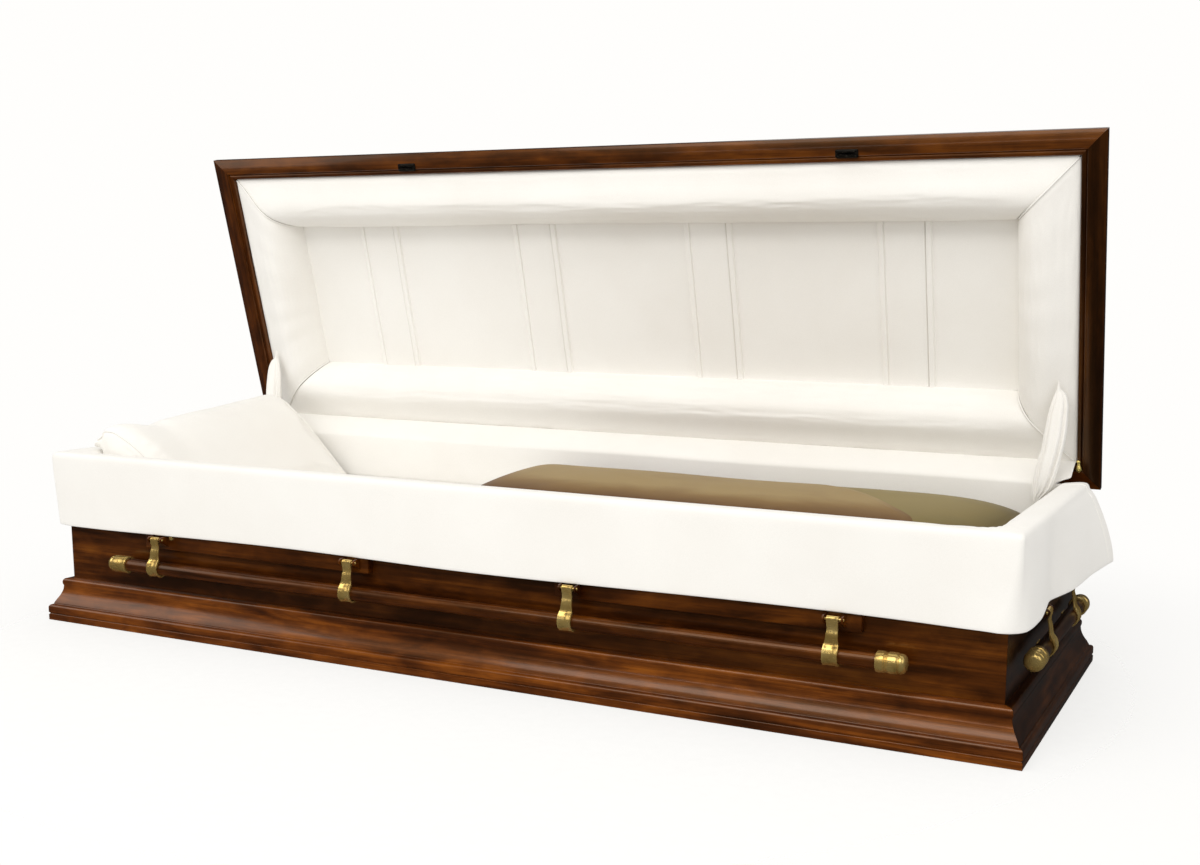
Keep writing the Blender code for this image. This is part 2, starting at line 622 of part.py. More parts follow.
def handle(side, along, arms, half_bar, pivot_out, strips):
    """One swing-bar handle with its mounting strips. along gives the direction of the bar."""
    outward = {"front": Vector((0, -1, 0)), "back": Vector((0, 1, 0)), "head": Vector((-1, 0, 0)), "foot": Vector((1, 0, 0))}
    out_dir = outward[side]
    face = (BOARD_Y if side in ("front", "back") else BOARD_X)
    pivot = out_dir * (face + pivot_out) + Vector((0, 0, PIVOT_Z))

    def at(position):
        def place(out, sideways, up):
            return pivot + out_dir * out + along * (position + sideways) + Vector((0, 0, up))
        return place

    bar_centre = pivot + Vector((0, 0, -ARM_DROP))
    bar_profile = [(-half_bar + 0.012, 0), (-half_bar + 0.012, BAR_R), (half_bar - 0.012, BAR_R), (half_bar - 0.012, 0)]
    add(f"handle_bar_{side}", *lathe(bar_profile, bar_centre, along, 16), WOOD)
    bore, deep = BAR_R + 0.0005, CAP_L - 0.0117
    cap = [
        (CAP_L - deep, 0), (CAP_L - deep, bore), (CAP_L, bore), (CAP_L, 0.0172), (CAP_L - 0.0012, CAP_R),
        (CAP_L - 0.0120, CAP_R), (CAP_L - 0.0138, 0.0166), (CAP_L - 0.0164, 0.0166), (CAP_L - 0.0182, CAP_R),
        (0.0095, CAP_R), (0.0045, 0.0168), (0.0014, 0.0135), (0.0, 0.0080), (0.0, 0),
    ]
    ends = ("head", "foot") if side in ("front", "back") else ("near", "far")
    for end_name, sign in zip(ends, (-1, 1)):
        turned = [(-a, r) for a, r in cap]
        shape = lathe(turned, bar_centre + along * sign * half_bar, along * sign, 16)
        add(f"handle_cap_{side}_{end_name}", *shape, BRASS)
    for k, position in enumerate(arms):
        add(f"handle_arm_{side}_{k + 1}", *arm_shape(at(position), ARM_W), BRASS)
    for name, low, high, thick in strips:
        def block(a0, a1, out0, out1, z0, z1):
            corners = []
            for a in (a0, a1):
                corners.append([
                    out_dir * (face + o) + along * a + Vector((0, 0, z))
                    for o, z in ((out0, z0), (out1, z0), (out1, z1), (out0, z1))
                ])
            return loft(corners)

        shapes = [block(low, high, GAP, thick, PIVOT_Z - 0.0225, PIVOT_Z + 0.0230)]
        for position in arms:
            if not low < position < high:
                continue
            for sign in (-1, 1):
                near, far = position + sign * 0.0150, position + sign * 0.0182
                rings = []
                for a in (near, far):
                    edge = [(thick - 0.001, PIVOT_Z + 0.0070), (thick - 0.001, PIVOT_Z - 0.0160)]
                    edge += [(pivot_out + o, PIVOT_Z + u) for o, u in arc((0, 0), 0.0062, -90, 90, 4)]
                    rings.append([out_dir * (face + o) + along * a + Vector((0, 0, z)) for o, z in edge])
                shapes.append(loft(rings))
            shapes.append(lathe([(-0.0195, 0), (-0.0195, PIN_R), (0.0195, PIN_R), (0.0195, 0)],
                                pivot + along * position, along, 8))
        unite(name, shapes, WOOD)


for side in ("front", "back"):
    strips = [
        (f"handle_strip_{side}_head", -STRIP_OUT, -STRIP_IN, STRIP_T),
        (f"handle_strip_{side}_foot", STRIP_IN, STRIP_OUT, STRIP_T),
    ]
    handle(side, Vector((1, 0, 0)), LONG_ARMS, LONG_HALF_BAR, SIDE_PIVOT, strips)
for side in ("head", "foot"):
    strips = [(f"handle_strip_{side}", -END_STRIP, END_STRIP, END_STRIP_T)]
    handle(side, Vector((0, 1, 0)), END_ARMS, END_HALF_BAR, END_PIVOT, strips)
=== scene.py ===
# The looks of the funeral casket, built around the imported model. Metres, Z up, the same frame as the CAD.
from math import atan2, cos, exp, pi, radians, sin

import bmesh
import bpy
import numpy as np
from mathutils import Matrix, Vector, bvhtree


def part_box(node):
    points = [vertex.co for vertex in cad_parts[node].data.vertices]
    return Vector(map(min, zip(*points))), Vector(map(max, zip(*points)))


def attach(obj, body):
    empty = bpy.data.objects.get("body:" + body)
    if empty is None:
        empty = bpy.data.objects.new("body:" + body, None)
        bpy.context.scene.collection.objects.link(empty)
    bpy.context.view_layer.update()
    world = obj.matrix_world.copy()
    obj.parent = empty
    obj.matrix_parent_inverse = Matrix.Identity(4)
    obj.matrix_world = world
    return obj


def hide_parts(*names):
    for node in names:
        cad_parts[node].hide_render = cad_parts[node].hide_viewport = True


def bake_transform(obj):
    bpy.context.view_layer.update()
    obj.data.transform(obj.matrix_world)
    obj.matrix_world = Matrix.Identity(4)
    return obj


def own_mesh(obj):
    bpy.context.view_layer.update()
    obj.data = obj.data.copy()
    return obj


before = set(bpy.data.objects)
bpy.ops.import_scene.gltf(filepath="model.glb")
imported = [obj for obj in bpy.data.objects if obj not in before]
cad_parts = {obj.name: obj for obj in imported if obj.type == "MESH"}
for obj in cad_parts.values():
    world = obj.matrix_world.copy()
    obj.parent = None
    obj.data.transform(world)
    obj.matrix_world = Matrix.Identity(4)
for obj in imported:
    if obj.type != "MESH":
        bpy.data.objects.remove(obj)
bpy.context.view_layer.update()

# Sizes that the solids share with this script, read from the frame where a node shows them.
SIDES = ("front", "back", "head", "foot")
LONG_SIDES = ("front", "back")
ENDS = {"head": -1, "foot": 1}
GAP = 0.0003
MITRE = 0.00022
RIM_OUT = 0.017
BOARD_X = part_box("side_board_foot")[1].x - RIM_OUT
BOARD_Y = -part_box("side_board_front")[0].y - RIM_OUT
RIM_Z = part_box("side_board_front")[1].z
BOARD_T = 0.022
FLOOR_T = 0.018
BASE_X, BASE_Y = BOARD_X + 0.0393, BOARD_Y + 0.0393
LINING_X, LINING_Y = BOARD_X - BOARD_T - 0.0004, BOARD_Y - BOARD_T - 0.0004
LINING_T = 0.006
BED_X, BED_Y = LINING_X - LINING_T - 0.0006, LINING_Y - LINING_T - 0.0006
DECK_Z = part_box("bed_frame")[1].z
BED_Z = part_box("mattress")[1].z

LID_X, LID_Y, LID_Z = BOARD_X + 0.0349, BOARD_Y + 0.03515, RIM_Z + 0.0085
LID_OPEN = radians(76.4)
HINGE_Y, HINGE_Z = BOARD_Y + 0.0227, RIM_Z - 0.0081
RAIL_W, RAIL_H, CROWN_H = 0.0475, 0.062, 0.172
ROLL_W, PANEL_H = 0.178, 0.0735
BAND_X = (-0.654, -0.218, 0.218, 0.654)

PIVOT_Z, ARM_DROP = 0.205, 0.0605
BAR_R, CAP_R, CAP_L, ARM_W, PIN_R = 0.0135, 0.018, 0.05, 0.027, 0.0026
STRIP_LOW, STRIP_HIGH = PIVOT_Z - 0.0225, PIVOT_Z + 0.023


# Node materials.
class Nodes:
    """Shorthand for building a shader graph."""

    def __init__(self, name):
        self.material = bpy.data.materials.new(name)
        self.material.use_nodes = True
        self.tree = self.material.node_tree
        self.shader = self.tree.nodes["Principled BSDF"]

    def feed(self, socket, value):
        """Gives a socket a constant, or links it to another node's output."""
        if isinstance(value, bpy.types.NodeSocket):
            self.tree.links.new(value, socket)
        else:
            socket.default_value = value

    def add(self, kind, **values):
        """A new node, with its properties and sockets set by name."""
        node = self.tree.nodes.new(kind)
        for key, value in values.items():
            if hasattr(node, key):
                setattr(node, key, value)
            else:
                self.feed(node.inputs[key.replace("_", " ")], value)
        return node

    def put(self, **values):
        """Sets or links sockets of the surface shader."""
        for key, value in values.items():
            self.feed(self.shader.inputs[key.replace("_", " ")], value)

    def mapped(self, size, turn=(0, 0, 0)):
        """Object coordinates in a frame turned by turn, measured in size along each of its axes."""
        place = self.add("ShaderNodeTexCoord").outputs["Object"]
        size = size if isinstance(size, tuple) else (size, size, size)
        return self.add("ShaderNodeMapping", vector_type="TEXTURE", Rotation=turn, Scale=size,
                        Vector=place).outputs["Vector"]

    def noise(self, vector, detail=4.0, roughness=0.55, distortion=0.0, scale=1.0):
        node = self.add("ShaderNodeTexNoise", Vector=vector, Scale=scale, Detail=detail, Roughness=roughness,
                        Distortion=distortion)
        return node.outputs["Fac"]

    def threads(self, vector, axis):
        """Bands across one axis, for the threads of a weave."""
        node = self.add("ShaderNodeTexWave", wave_type="BANDS", bands_direction=axis, Vector=vector,
                        Scale=0.45, Distortion=1.5)
        return node.outputs["Fac"]

    def total(self, *terms):
        """The sum of values, each times its weight."""
        result = 0.0
        for value, weight in terms:
            node = self.add("ShaderNodeMath", operation="MULTIPLY_ADD")
            for socket, part in zip(node.inputs, (value, weight, result)):
                self.feed(socket, part)
            result = node.outputs["Value"]
        return result

    def ramp(self, value, *stops, strength=1.0):
        """Colours placed along a value, each made stronger or weaker."""
        node = self.add("ShaderNodeValToRGB", Fac=value)
        band = node.color_ramp
        while len(band.elements) < len(stops):
            band.elements.new(0.5)
        for element, (place, colour) in zip(band.elements, stops):
            element.position = place
            element.color = (*(min(1.0, strength * part) for part in colour), 1)
        return node.outputs["Color"]

    def darkened(self, colour, shade, amount=1.0):
        """A colour multiplied by a shade."""
        node = self.add("ShaderNodeMix", data_type="RGBA", blend_type="MULTIPLY")
        for number, value in ((0, amount), (6, colour), (7, shade)):
            self.feed(node.inputs[number], value)
        return node.outputs[2]

    def spread(self, value, low, high):
        """The 0 to 1 value stretched to run from low to high."""
        return self.add("ShaderNodeMapRange", To_Min=low, To_Max=high, Value=value).outputs["Result"]

    def bump(self, height, strength, distance):
        node = self.add("ShaderNodeBump", Strength=strength, Distance=distance, Height=height)
        self.put(Normal=node.outputs["Normal"])


GRAIN_TURN = {
    "x": (0, 0, 0),
    "y": (0, 0, pi / 2),
    "lid": tuple((Matrix.Rotation(-LID_OPEN, 3, "X") @ Matrix.Rotation(pi / 2, 3, "Z")).to_euler()),
}
WHITE = (1, 1, 1)


def mahogany(name, grain, shift=0.0, depth=1.0, coat=(0.34, 0.09)):
    """Gloss-lacquered dark red mahogany, with flame, streaks and pores along the grain. Depth scales the
    whole colour: below 1 it paints shade, above 1 it paints light.
    """
    m = Nodes(name)
    turn = GRAIN_TURN[grain]
    flame = m.noise(m.mapped((0.55, 0.075, 0.075), turn), 3.0, 0.5, 1.2, 1.3 + shift)
    streak = m.noise(m.mapped((0.5, 0.0085, 0.0085), turn), 6.0, 0.62, 0.35, 1.0 + shift)
    fine = m.noise(m.mapped((0.1, 0.0016, 0.0016), turn), 3.0, 0.5)
    mottle = m.noise(m.mapped((0.06, 0.025, 0.025), turn), 3.0, 0.6, 0.6)
    colour = m.ramp(m.total((flame, 0.52), (streak, 0.27), (mottle, 0.21)),
                    (0.34, (0.013, 0.0026, 0.0002)), (0.44, (0.032, 0.0066, 0.0004)),
                    (0.52, (0.069, 0.0158, 0.0009)), (0.6, (0.122, 0.0315, 0.0018)),
                    (0.71, (0.2, 0.061, 0.0042)), strength=depth)
    pores = m.ramp(fine, (0.34, (0.62, 0.55, 0.5)), (0.5, WHITE))
    m.put(Base_Color=m.darkened(colour, pores, 0.75), Roughness=m.spread(streak, 0.26, 0.38),
          Specular_IOR_Level=0.7, Specular_Tint=(1.0, 0.52, 0.22, 1.0),
          Coat_Weight=coat[0], Coat_Roughness=coat[1], Coat_IOR=1.45)
    m.bump(m.total((flame, 2.0), (fine, 1.0)), 0.1, 0.0004)
    return m.material


def plain_board():
    """Unfinished light board, for the floor and the bed frame."""
    m = Nodes("plain_board")
    grain = m.noise(m.mapped((0.4, 0.01, 0.01)), 6.0, 0.6, 0.5)
    fine = m.noise(m.mapped((0.05, 0.0012, 0.0012)), 3.0)
    m.put(Base_Color=m.ramp(grain, (0.3, (0.26, 0.15, 0.075)), (0.52, (0.43, 0.28, 0.155)),
                            (0.72, (0.55, 0.39, 0.23))),
          Roughness=m.spread(fine, 0.55, 0.75))
    m.bump(fine, 0.25, 0.0005)
    return m.material


def antique_brass(name, brush_turn=0.0, painted_light_gain=1.0):
    """Brushed antique brass with darker patina in patches."""
    m = Nodes(name)
    patch = m.noise(m.mapped(0.04), 3.0, 0.5, 0.4)
    brushed = m.noise(m.mapped((0.016, 0.00035, 0.00035), (0, 0, brush_turn)), 3.0, 0.6)
    speck = m.noise(m.mapped(0.0022), 2.0)
    # A painted_light_gain above 1 makes the whole colour lighter: painted light.
    colour = m.ramp(patch, (0.3, (0.58, 0.37, 0.1)), (0.48, (0.8, 0.55, 0.175)),
                    (0.68, (0.93, 0.69, 0.26)), strength=painted_light_gain)
    tone = m.ramp(brushed, (0.3, (0.74, 0.72, 0.66)), (0.7, WHITE))
    marks = m.ramp(speck, (0.26, (0.7, 0.64, 0.52)), (0.38, WHITE))
    m.put(Base_Color=m.darkened(m.darkened(colour, tone, 0.35), marks, 0.2), Metallic=0.82,
          Roughness=m.spread(brushed, 0.22, 0.3))
    m.bump(brushed, 0.03, 0.0001)
    return m.material


def black_steel():
    """Blackened steel, worn to grey in specks."""
    m = Nodes("black_steel")
    worn = m.noise(m.mapped(0.004), 5.0, 0.65)
    m.put(Base_Color=m.ramp(worn, (0.4, (0.012, 0.01, 0.008)), (0.62, (0.03, 0.026, 0.02)),
                            (0.78, (0.1, 0.095, 0.085))),
          Roughness=m.spread(worn, 0.32, 0.6), Metallic=0.85)
    m.bump(worn, 0.2, 0.0003)
    return m.material


def cloth(name, colour, shade, sheen=0.25, roughness=0.85, weave=0.0009):
    """Woven cloth: crossing threads, a crepe grain and a slow change of tone."""
    m = Nodes(name)
    place = m.mapped(weave)
    crepe = m.noise(place, 3.0, 0.6)
    slow = m.noise(m.mapped(0.22), 3.0)
    grain = m.ramp(crepe, (0.3, (0.94, 0.94, 0.935)), (0.6, WHITE))
    m.put(Base_Color=m.darkened(m.ramp(slow, (0.3, shade), (0.65, colour)), grain),
          Roughness=m.spread(crepe, roughness - 0.06, roughness + 0.06), Sheen_Weight=sheen,
          Sheen_Roughness=0.5, Specular_IOR_Level=0.25)
    m.bump(m.total((crepe, 2.0), *((m.threads(place, axis), 1.0) for axis in "XZY")), 0.25, 0.00012)
    return m.material


def satin(name, *stops):
    """Smooth satin with painted shade: its colour darkens from the lit ridge down to the low edge, with a
    slow cloudiness.
    """
    m = Nodes(name)
    parts = m.add("ShaderNodeSeparateXYZ", Vector=m.add("ShaderNodeTexCoord").outputs["Object"])
    # The colour follows height: painted shade low on the cover, painted light on the ridge.
    rise = m.add("ShaderNodeMapRange", From_Min=BED_Z, From_Max=BED_Z + 0.09, Value=parts.outputs["Z"])
    cloudy = m.noise(m.mapped((0.2, 0.12, 0.12)), 3.0, 0.5, 0.6)
    thread = m.noise(m.mapped((0.012, 0.0005, 0.0005)), 2.0)
    height = m.total((rise.outputs["Result"], 1.0), (cloudy, 0.14), (1.0, -0.07))
    grain = m.ramp(thread, (0.3, (0.93, 0.93, 0.92)), (0.6, WHITE))
    m.put(Base_Color=m.darkened(m.ramp(height, *stops), grain), Roughness=m.spread(cloudy, 0.38, 0.5),
          Specular_IOR_Level=0.08, Specular_Tint=(1.0, 0.8, 0.52, 1.0))
    m.bump(thread, 0.06, 0.0001)
    return m.material


# Each look with the record's slot that it belongs to.
LOOKS = {
    "wood_x": ("mahogany", mahogany("mahogany_along_x", "x")),
    # Half-strength mahogany for the head and foot ends: painted shade.
    "wood_y_shaded": ("mahogany", mahogany("mahogany_along_y_shaded", "y", 0.13, 0.5, (0.22, 0.09))),
    # Mahogany at 1.75 times strength for the front and back plinth: painted light.
    "wood_plinth_lit": ("mahogany", mahogany("mahogany_plinth_painted_light", "x", 0.05, 1.75, (0.7, 0.13))),
    "wood_lid": ("mahogany", mahogany("mahogany_lid_head", "lid", 0.21)),
    # The lid mahogany at a third strength for the foot rail: painted shade.
    "wood_lid_shaded": ("mahogany", mahogany("mahogany_lid_foot_shaded", "lid", 0.33, 0.34, (0.16, 0.09))),
    "board": ("plain_wood", plain_board()),
    "brass": ("brass", antique_brass("antique_brass")),
    "brass_lid": ("brass", antique_brass("antique_brass_lid", 0.4)),
    # Brass painted 1.4 times lighter for the stop pins: painted light.
    "brass_pin": ("brass", antique_brass("brass_pin_painted_light", 0.4, 1.4)),
    "black": ("black_metal", black_steel()),
    "white": ("white_cloth", cloth("white_crepe", (0.925, 0.905, 0.865), (0.895, 0.87, 0.825))),
    "roll": ("white_cloth", cloth("white_padding", (0.925, 0.905, 0.865), (0.89, 0.865, 0.82), 0.2, 0.85,
                                  0.0011)),
    "ticking": ("ticking", cloth("white_ticking", (0.89, 0.875, 0.84), (0.85, 0.83, 0.79), 0.1, 0.9, 0.0014)),
    # Both satins are darkest part way up and lightest at the ridge: painted shade below, painted light on
    # top.
    "satin": ("taupe_satin", satin("olive_taupe_satin", (0.3, (0.15, 0.11, 0.036)),
                                   (0.74, (0.14, 0.104, 0.034)), (0.86, (0.2, 0.152, 0.054)),
                                   (0.99, (0.262, 0.202, 0.078)))),
    "satin_fold": ("taupe_satin", satin("rose_taupe_satin", (0.3, (0.12, 0.056, 0.018)),
                                        (0.72, (0.08, 0.033, 0.01)), (0.84, (0.125, 0.06, 0.018)),
                                        (0.93, (0.215, 0.124, 0.042)), (1.0, (0.33, 0.232, 0.1)))),
}
# The head and foot ends take the half-strength mahogany: painted shade on the end faces.
GRAIN = {"front": "wood_x", "back": "wood_x", "head": "wood_y_shaded", "foot": "wood_y_shaded"}


# Mesh building.
def linked(name, mesh):
    obj = bpy.data.objects.new(name, mesh)
    bpy.context.scene.collection.objects.link(obj)
    return obj


def surface(name, rows, wrap=True, capped=True, closed=False):
    """A quad mesh over rows of points. wrap joins last column to first, closed last row to first."""
    rows = np.asarray(rows, float)
    count, width = rows.shape[:2]
    faces = []
    for r in range(count if closed else count - 1):
        below, above = r * width, ((r + 1) % count) * width
        for c in range(width if wrap else width - 1):
            d = (c + 1) % width
            faces.append((below + c, below + d, above + d, above + c))
    if capped:
        faces.append(tuple(range(width)))
        faces.append(tuple(range((count - 1) * width, count * width)))
    mesh = bpy.data.meshes.new(name)
    mesh.from_pydata(rows.reshape(-1, 3).tolist(), [], faces)
    bm = bmesh.new()
    bm.from_mesh(mesh)
    bmesh.ops.remove_doubles(bm, verts=bm.verts, dist=1e-6)
    bmesh.ops.recalc_face_normals(bm, faces=bm.faces)
    if (wrap or closed) and bm.calc_volume(signed=True) < 0:
        bmesh.ops.reverse_faces(bm, faces=bm.faces)
    bm.to_mesh(mesh)
    bm.free()
    return linked(name, mesh)


def dress(obj, body, node, look, sharp=38.0):
    """Gives a piece its material and shading, sets it on its body and hides the CAD node that it stands for.
    """
    slot, material = LOOKS[look]
    obj.data.materials.clear()
    obj.data.materials.append(material)
    obj.data.shade_smooth()
    if sharp:
        obj.data.set_sharp_from_angle(angle=radians(sharp))
    if body:
        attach(obj, body)
    if node:
        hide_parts(node)
    return obj


def curve(points, steps=6):
    """Points along a smooth curve through the given ones."""
    given = np.array(points, float)
    padded = np.vstack([2 * given[0] - given[1], given, 2 * given[-1] - given[-2]])
    made = []
    for a, b, c, d in zip(padded, padded[1:], padded[2:], padded[3:]):
        for t in np.arange(steps) / steps:
            square, cube = 2 * a - 5 * b + 4 * c - d, 3 * b - a - 3 * c + d
            made.append(0.5 * (2 * b + (c - a) * t + square * t**2 + cube * t**3))
    made.append(given[-1])
    return np.array(made)


def outline(*stretches):
    """One line from stretches: a list of corner points, or (points, steps) for a smooth curve."""
    made = []
    for stretch in stretches:
        points = curve(*stretch) if isinstance(stretch, tuple) else np.array(stretch, float)
        for p in points:
            if not made or np.linalg.norm(np.array(made[-1]) - p) > 1e-6:
                made.append(tuple(p))
    return made


def arc(centre, radius, start, end, steps):
    angles = np.radians(np.linspace(start, end, steps + 1))
    return [(centre[0] + radius * cos(a), centre[1] + radius * sin(a)) for a in angles]


def about_hinge(points, angle):
    """Points turned about the lid's hinge line."""
    points = np.asarray(points, float)
    y, z = points[..., 1] - HINGE_Y, points[..., 2] - HINGE_Z
    c, s = cos(angle), sin(angle)
    return np.stack([points[..., 0], HINGE_Y + y * c + z * s, HINGE_Z - y * s + z * c], axis=-1)


def swing_open(points):
    """Points of the closed lid, turned up to the open rest position."""
    return about_hinge(points, LID_OPEN)


def on_side(side, along, out, z):
    """A point that belongs to one of the four sides: its place along it, out from the middle and up."""
    if side in LONG_SIDES:
        return (along, -out if side == "front" else out, z)
    return (-out if side == "head" else out, along, z)


def side_frame(side):
    """A side's outward and lengthwise directions and how far out the face of its board stands."""
    face = BOARD_Y if side in LONG_SIDES else BOARD_X
    return Vector(on_side(side, 0, 1, 0)), Vector(on_side(side, 1, 0, 0)), face


def mitred_rows(profile, half_x, half_y, side, lift=0.0):
    """The two end rows of a mitred length, through a profile of (inset, height)."""
    reach, depth = (half_x, half_y) if side in LONG_SIDES else (half_y, half_x)
    return np.array([[on_side(side, end * (reach - inset - MITRE), depth - inset, lift + height)
                      for inset, height in profile] for end in (-1, 1)])


def four_lengths(name, node, profile, half_x, half_y, looks, body="casket_body", lift=0.0, place=np.array):
    """Four mitred lengths of one profile, one along each side."""
    for side in SIDES:
        rows = place(mitred_rows(profile, half_x, half_y, side, lift))
        dress(surface(f"{name}_{side}", rows), body, f"{node}_{side}", looks[side])


def round_angles(steps):
    return np.linspace(0, 2 * pi, steps, endpoint=False)


def turned(name, profile, centre, axis, steps=48):
    """A solid of revolution. The profile is (distance along, radius), from pole to pole."""
    axis = Vector(axis).normalized()
    side = Vector((0, 0, 1)) if abs(axis.z) < 0.9 else Vector((1, 0, 0))
    other = axis.cross(side).normalized()
    rows = []
    for distance, radius in profile:
        middle = Vector(centre) + axis * distance
        rows.append([tuple(middle + (side * cos(a) + other * sin(a)) * max(radius, 1e-7))
                     for a in round_angles(steps)])
    return surface(name, rows)


# Plinth: flat band with a groove, bead, cove and rounded lip.
BASE_PROFILE = outline(
    [(0.0008, 0.0), (0.0, 0.0008)],
    ([(0.0, 0.0122), (0.0014, 0.013), (0.0021, 0.0145), (0.0014, 0.016), (0.0, 0.0168)], 3),
    ([(0.0, 0.0268), (0.0006, 0.03), (0.0026, 0.0328), (0.0058, 0.0342), (0.0078, 0.0345)], 5),
    [(0.008, 0.0347)],
    ([(0.0084, 0.0366), (0.0116, 0.043), (0.0158, 0.05), (0.0198, 0.058), (0.0226, 0.0665),
      (0.0238, 0.075)], 6),
    ([(0.0232, 0.0762), (0.0222, 0.0795), (0.0221, 0.0835), (0.0232, 0.0874), (0.026, 0.0902),
      (0.03, 0.0911)], 5),
    [(BASE_X - BOARD_X - GAP, 0.0911), (BASE_X - BOARD_X - GAP, 0.0)],
)
# The front and back plinth take the lighter mahogany, painted light; the ends take the half-strength one,
# painted shade.
four_lengths("plinth", "base_moulding", BASE_PROFILE, BASE_X, BASE_Y,
             {**GRAIN, "front": "wood_plinth_lit", "back": "wood_plinth_lit"})

# Side boards and the rim moulding that runs round their top edge.
BOARD_PROFILE = [(0.0, FLOOR_T + GAP), (0.0, RIM_Z - 0.0445), (0.0006, RIM_Z - 0.044),
                 (0.0006, RIM_Z - 0.0006), (BOARD_T - 0.001, RIM_Z), (BOARD_T, RIM_Z - 0.001),
                 (BOARD_T, FLOOR_T + GAP)]
four_lengths("wall", "side_board", BOARD_PROFILE, BOARD_X, BOARD_Y, GRAIN)

RIM_PROFILE = outline(
    ([(-0.0001, -0.044), (-0.0026, -0.0358), (-0.0072, -0.0294),
      (-0.0125, -0.0261)], 5),
    ([(-0.016, -0.025), (-RIM_OUT, -0.0225), (-RIM_OUT, -0.012),
      (-RIM_OUT, -0.003)], 4),
    [(-0.015, 0.0), (-0.0003, 0.0), (-0.0001, -0.001)],
)
four_lengths("rim_moulding", "side_board", RIM_PROFILE, BOARD_X, BOARD_Y, GRAIN, lift=RIM_Z)

for name, look in (("floor_board", "board"), ("bed_frame", "board"), ("hinge_leaf_body", "brass"),
                   ("hinge_leaf_lid", "brass_lid")):
    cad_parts[name].data.materials.clear()
    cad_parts[name].data.materials.append(LOOKS[look][1])


# Lid woodwork.
RAIL_PROFILE = outline(
    ([(0.0006, 0.0), (0.0001, 0.0004), (0.0, 0.001)], 2),
    ([(0.0, 0.0136), (0.0008, 0.017), (0.0034, 0.0192), (0.007, 0.0198)], 4),
    ([(0.0071, 0.023), (0.0092, 0.032), (0.0134, 0.0405), (0.0192, 0.0475), (0.0262, 0.0522),
      (0.032, 0.054)], 4),
    [(0.032, RAIL_H), (RAIL_W, RAIL_H)],
    ([(RAIL_W, 0.0065), (0.0464, 0.004), (0.043, 0.003), (0.0392, 0.0036), (0.0374, 0.0052)], 4),
    ([(0.0368, 0.0052), (0.0362, 0.0026), (0.0352, 0.0014)], 3),
    ([(0.0352, 0.0004), (0.0348, 0.0)], 1),
)
# The foot rail takes the darker lid mahogany: painted shade.
four_lengths("rail", "lid_rail", RAIL_PROFILE, LID_X, LID_Y,
             {**GRAIN, "head": "wood_lid", "foot": "wood_lid_shaded"}, "lid", LID_Z, swing_open)

CROWN_BASE = RAIL_H + GAP
CROWN_OUTER = outline(
    [(RAIL_W + 0.001, CROWN_BASE)],
    ([(0.027, CROWN_BASE), (0.024, 0.064), (0.0232, 0.0672), (0.024, 0.0704), (0.0268, 0.0722)], 4),
    ([(0.032, 0.0735), (0.045, 0.079), (0.064, 0.092), (0.085, 0.11), (0.108, 0.129),
      (0.129, 0.143), (0.145, 0.15)], 5),
    [(0.1495, 0.1508)],
    ([(0.15, 0.1556), (0.1516, 0.163), (0.157, 0.169), (0.164, 0.1717), (0.172, CROWN_H)], 4),
)
CROWN_INNER = outline([(0.165, 0.16), (0.158, 0.142)],
                      ([(0.14, 0.136), (0.115, 0.122), (0.09, 0.104), (0.064, 0.084)], 3),
                      [(RAIL_W + 0.001, 0.074)])


def crown():
    """The hollow crown: outer and inner faces as one closed shell, whose flat top closes it."""
    corners = ((-1, -1), (1, -1), (1, 1), (-1, 1))
    section = CROWN_OUTER[::-1] + CROWN_INNER[::-1]
    rows = [[(sx * (LID_X - d), sy * (LID_Y - d), LID_Z + h) for sx, sy in corners] for d, h in section]
    return surface("crown", swing_open(rows))


shell = dress(crown(), "lid", "lid_crown", "wood_x")
shell.data.materials.append(LOOKS["wood_lid"][1])
for face in shell.data.polygons:
    if abs(face.normal.x) > 0.3:
        face.material_index = 1


# Handles.
def handle_frame(side, pivot_out):
    """The pivot line's middle and the outward and lengthwise directions of a side's handle."""
    outward, along, face = side_frame(side)
    return outward * (face + pivot_out) + Vector((0, 0, PIVOT_Z)), outward, along


def arm_outline():
    """Side view of an arm as (out from the pivot, up): rolled eye, S-bent strap and band round the bar."""
    thick = 0.0026
    eye_in, grip_in = PIN_R + 0.0006, BAR_R + 0.0004
    eye_out, grip_out = eye_in + thick, grip_in + 0.0034
    bar = (0.0, -ARM_DROP)
    inner = curve([(eye_in, 0.0), (0.0026, -0.008), (0.0008, -0.013), (0.0016, -0.019),
                   (0.0034, -0.026), (0.004, -0.034), (0.0052, -0.041),
                   (0.0066, -ARM_DROP + grip_in * 0.88)], 4)
    outer = curve([(0.0168, -ARM_DROP + 0.007), (0.0136, -ARM_DROP + 0.0138),
                   (0.0094, -ARM_DROP + 0.019), (0.0078, -0.0365), (0.0074, -0.03), (0.0062, -0.0235),
                   (0.0044, -0.018), (0.0038, -0.013), (0.0052, -0.007), (eye_out, 0.0)], 4)
    shape = arc((0, 0), eye_in, 315, 0, 14)[:-1] + [tuple(p) for p in inner]
    shape += arc(bar, grip_in, 56, -205, 26)[1:]
    shape += arc(bar, grip_out - 0.0008, -205, -140, 6)
    shape += arc(bar, grip_out + 0.0012, -125, -60, 6)
    shape += arc(bar, grip_out + 0.0004, -48, 12, 8)
    return shape + [tuple(p) for p in outer] + arc((0, 0), eye_out, 0, 315, 16)[1:]


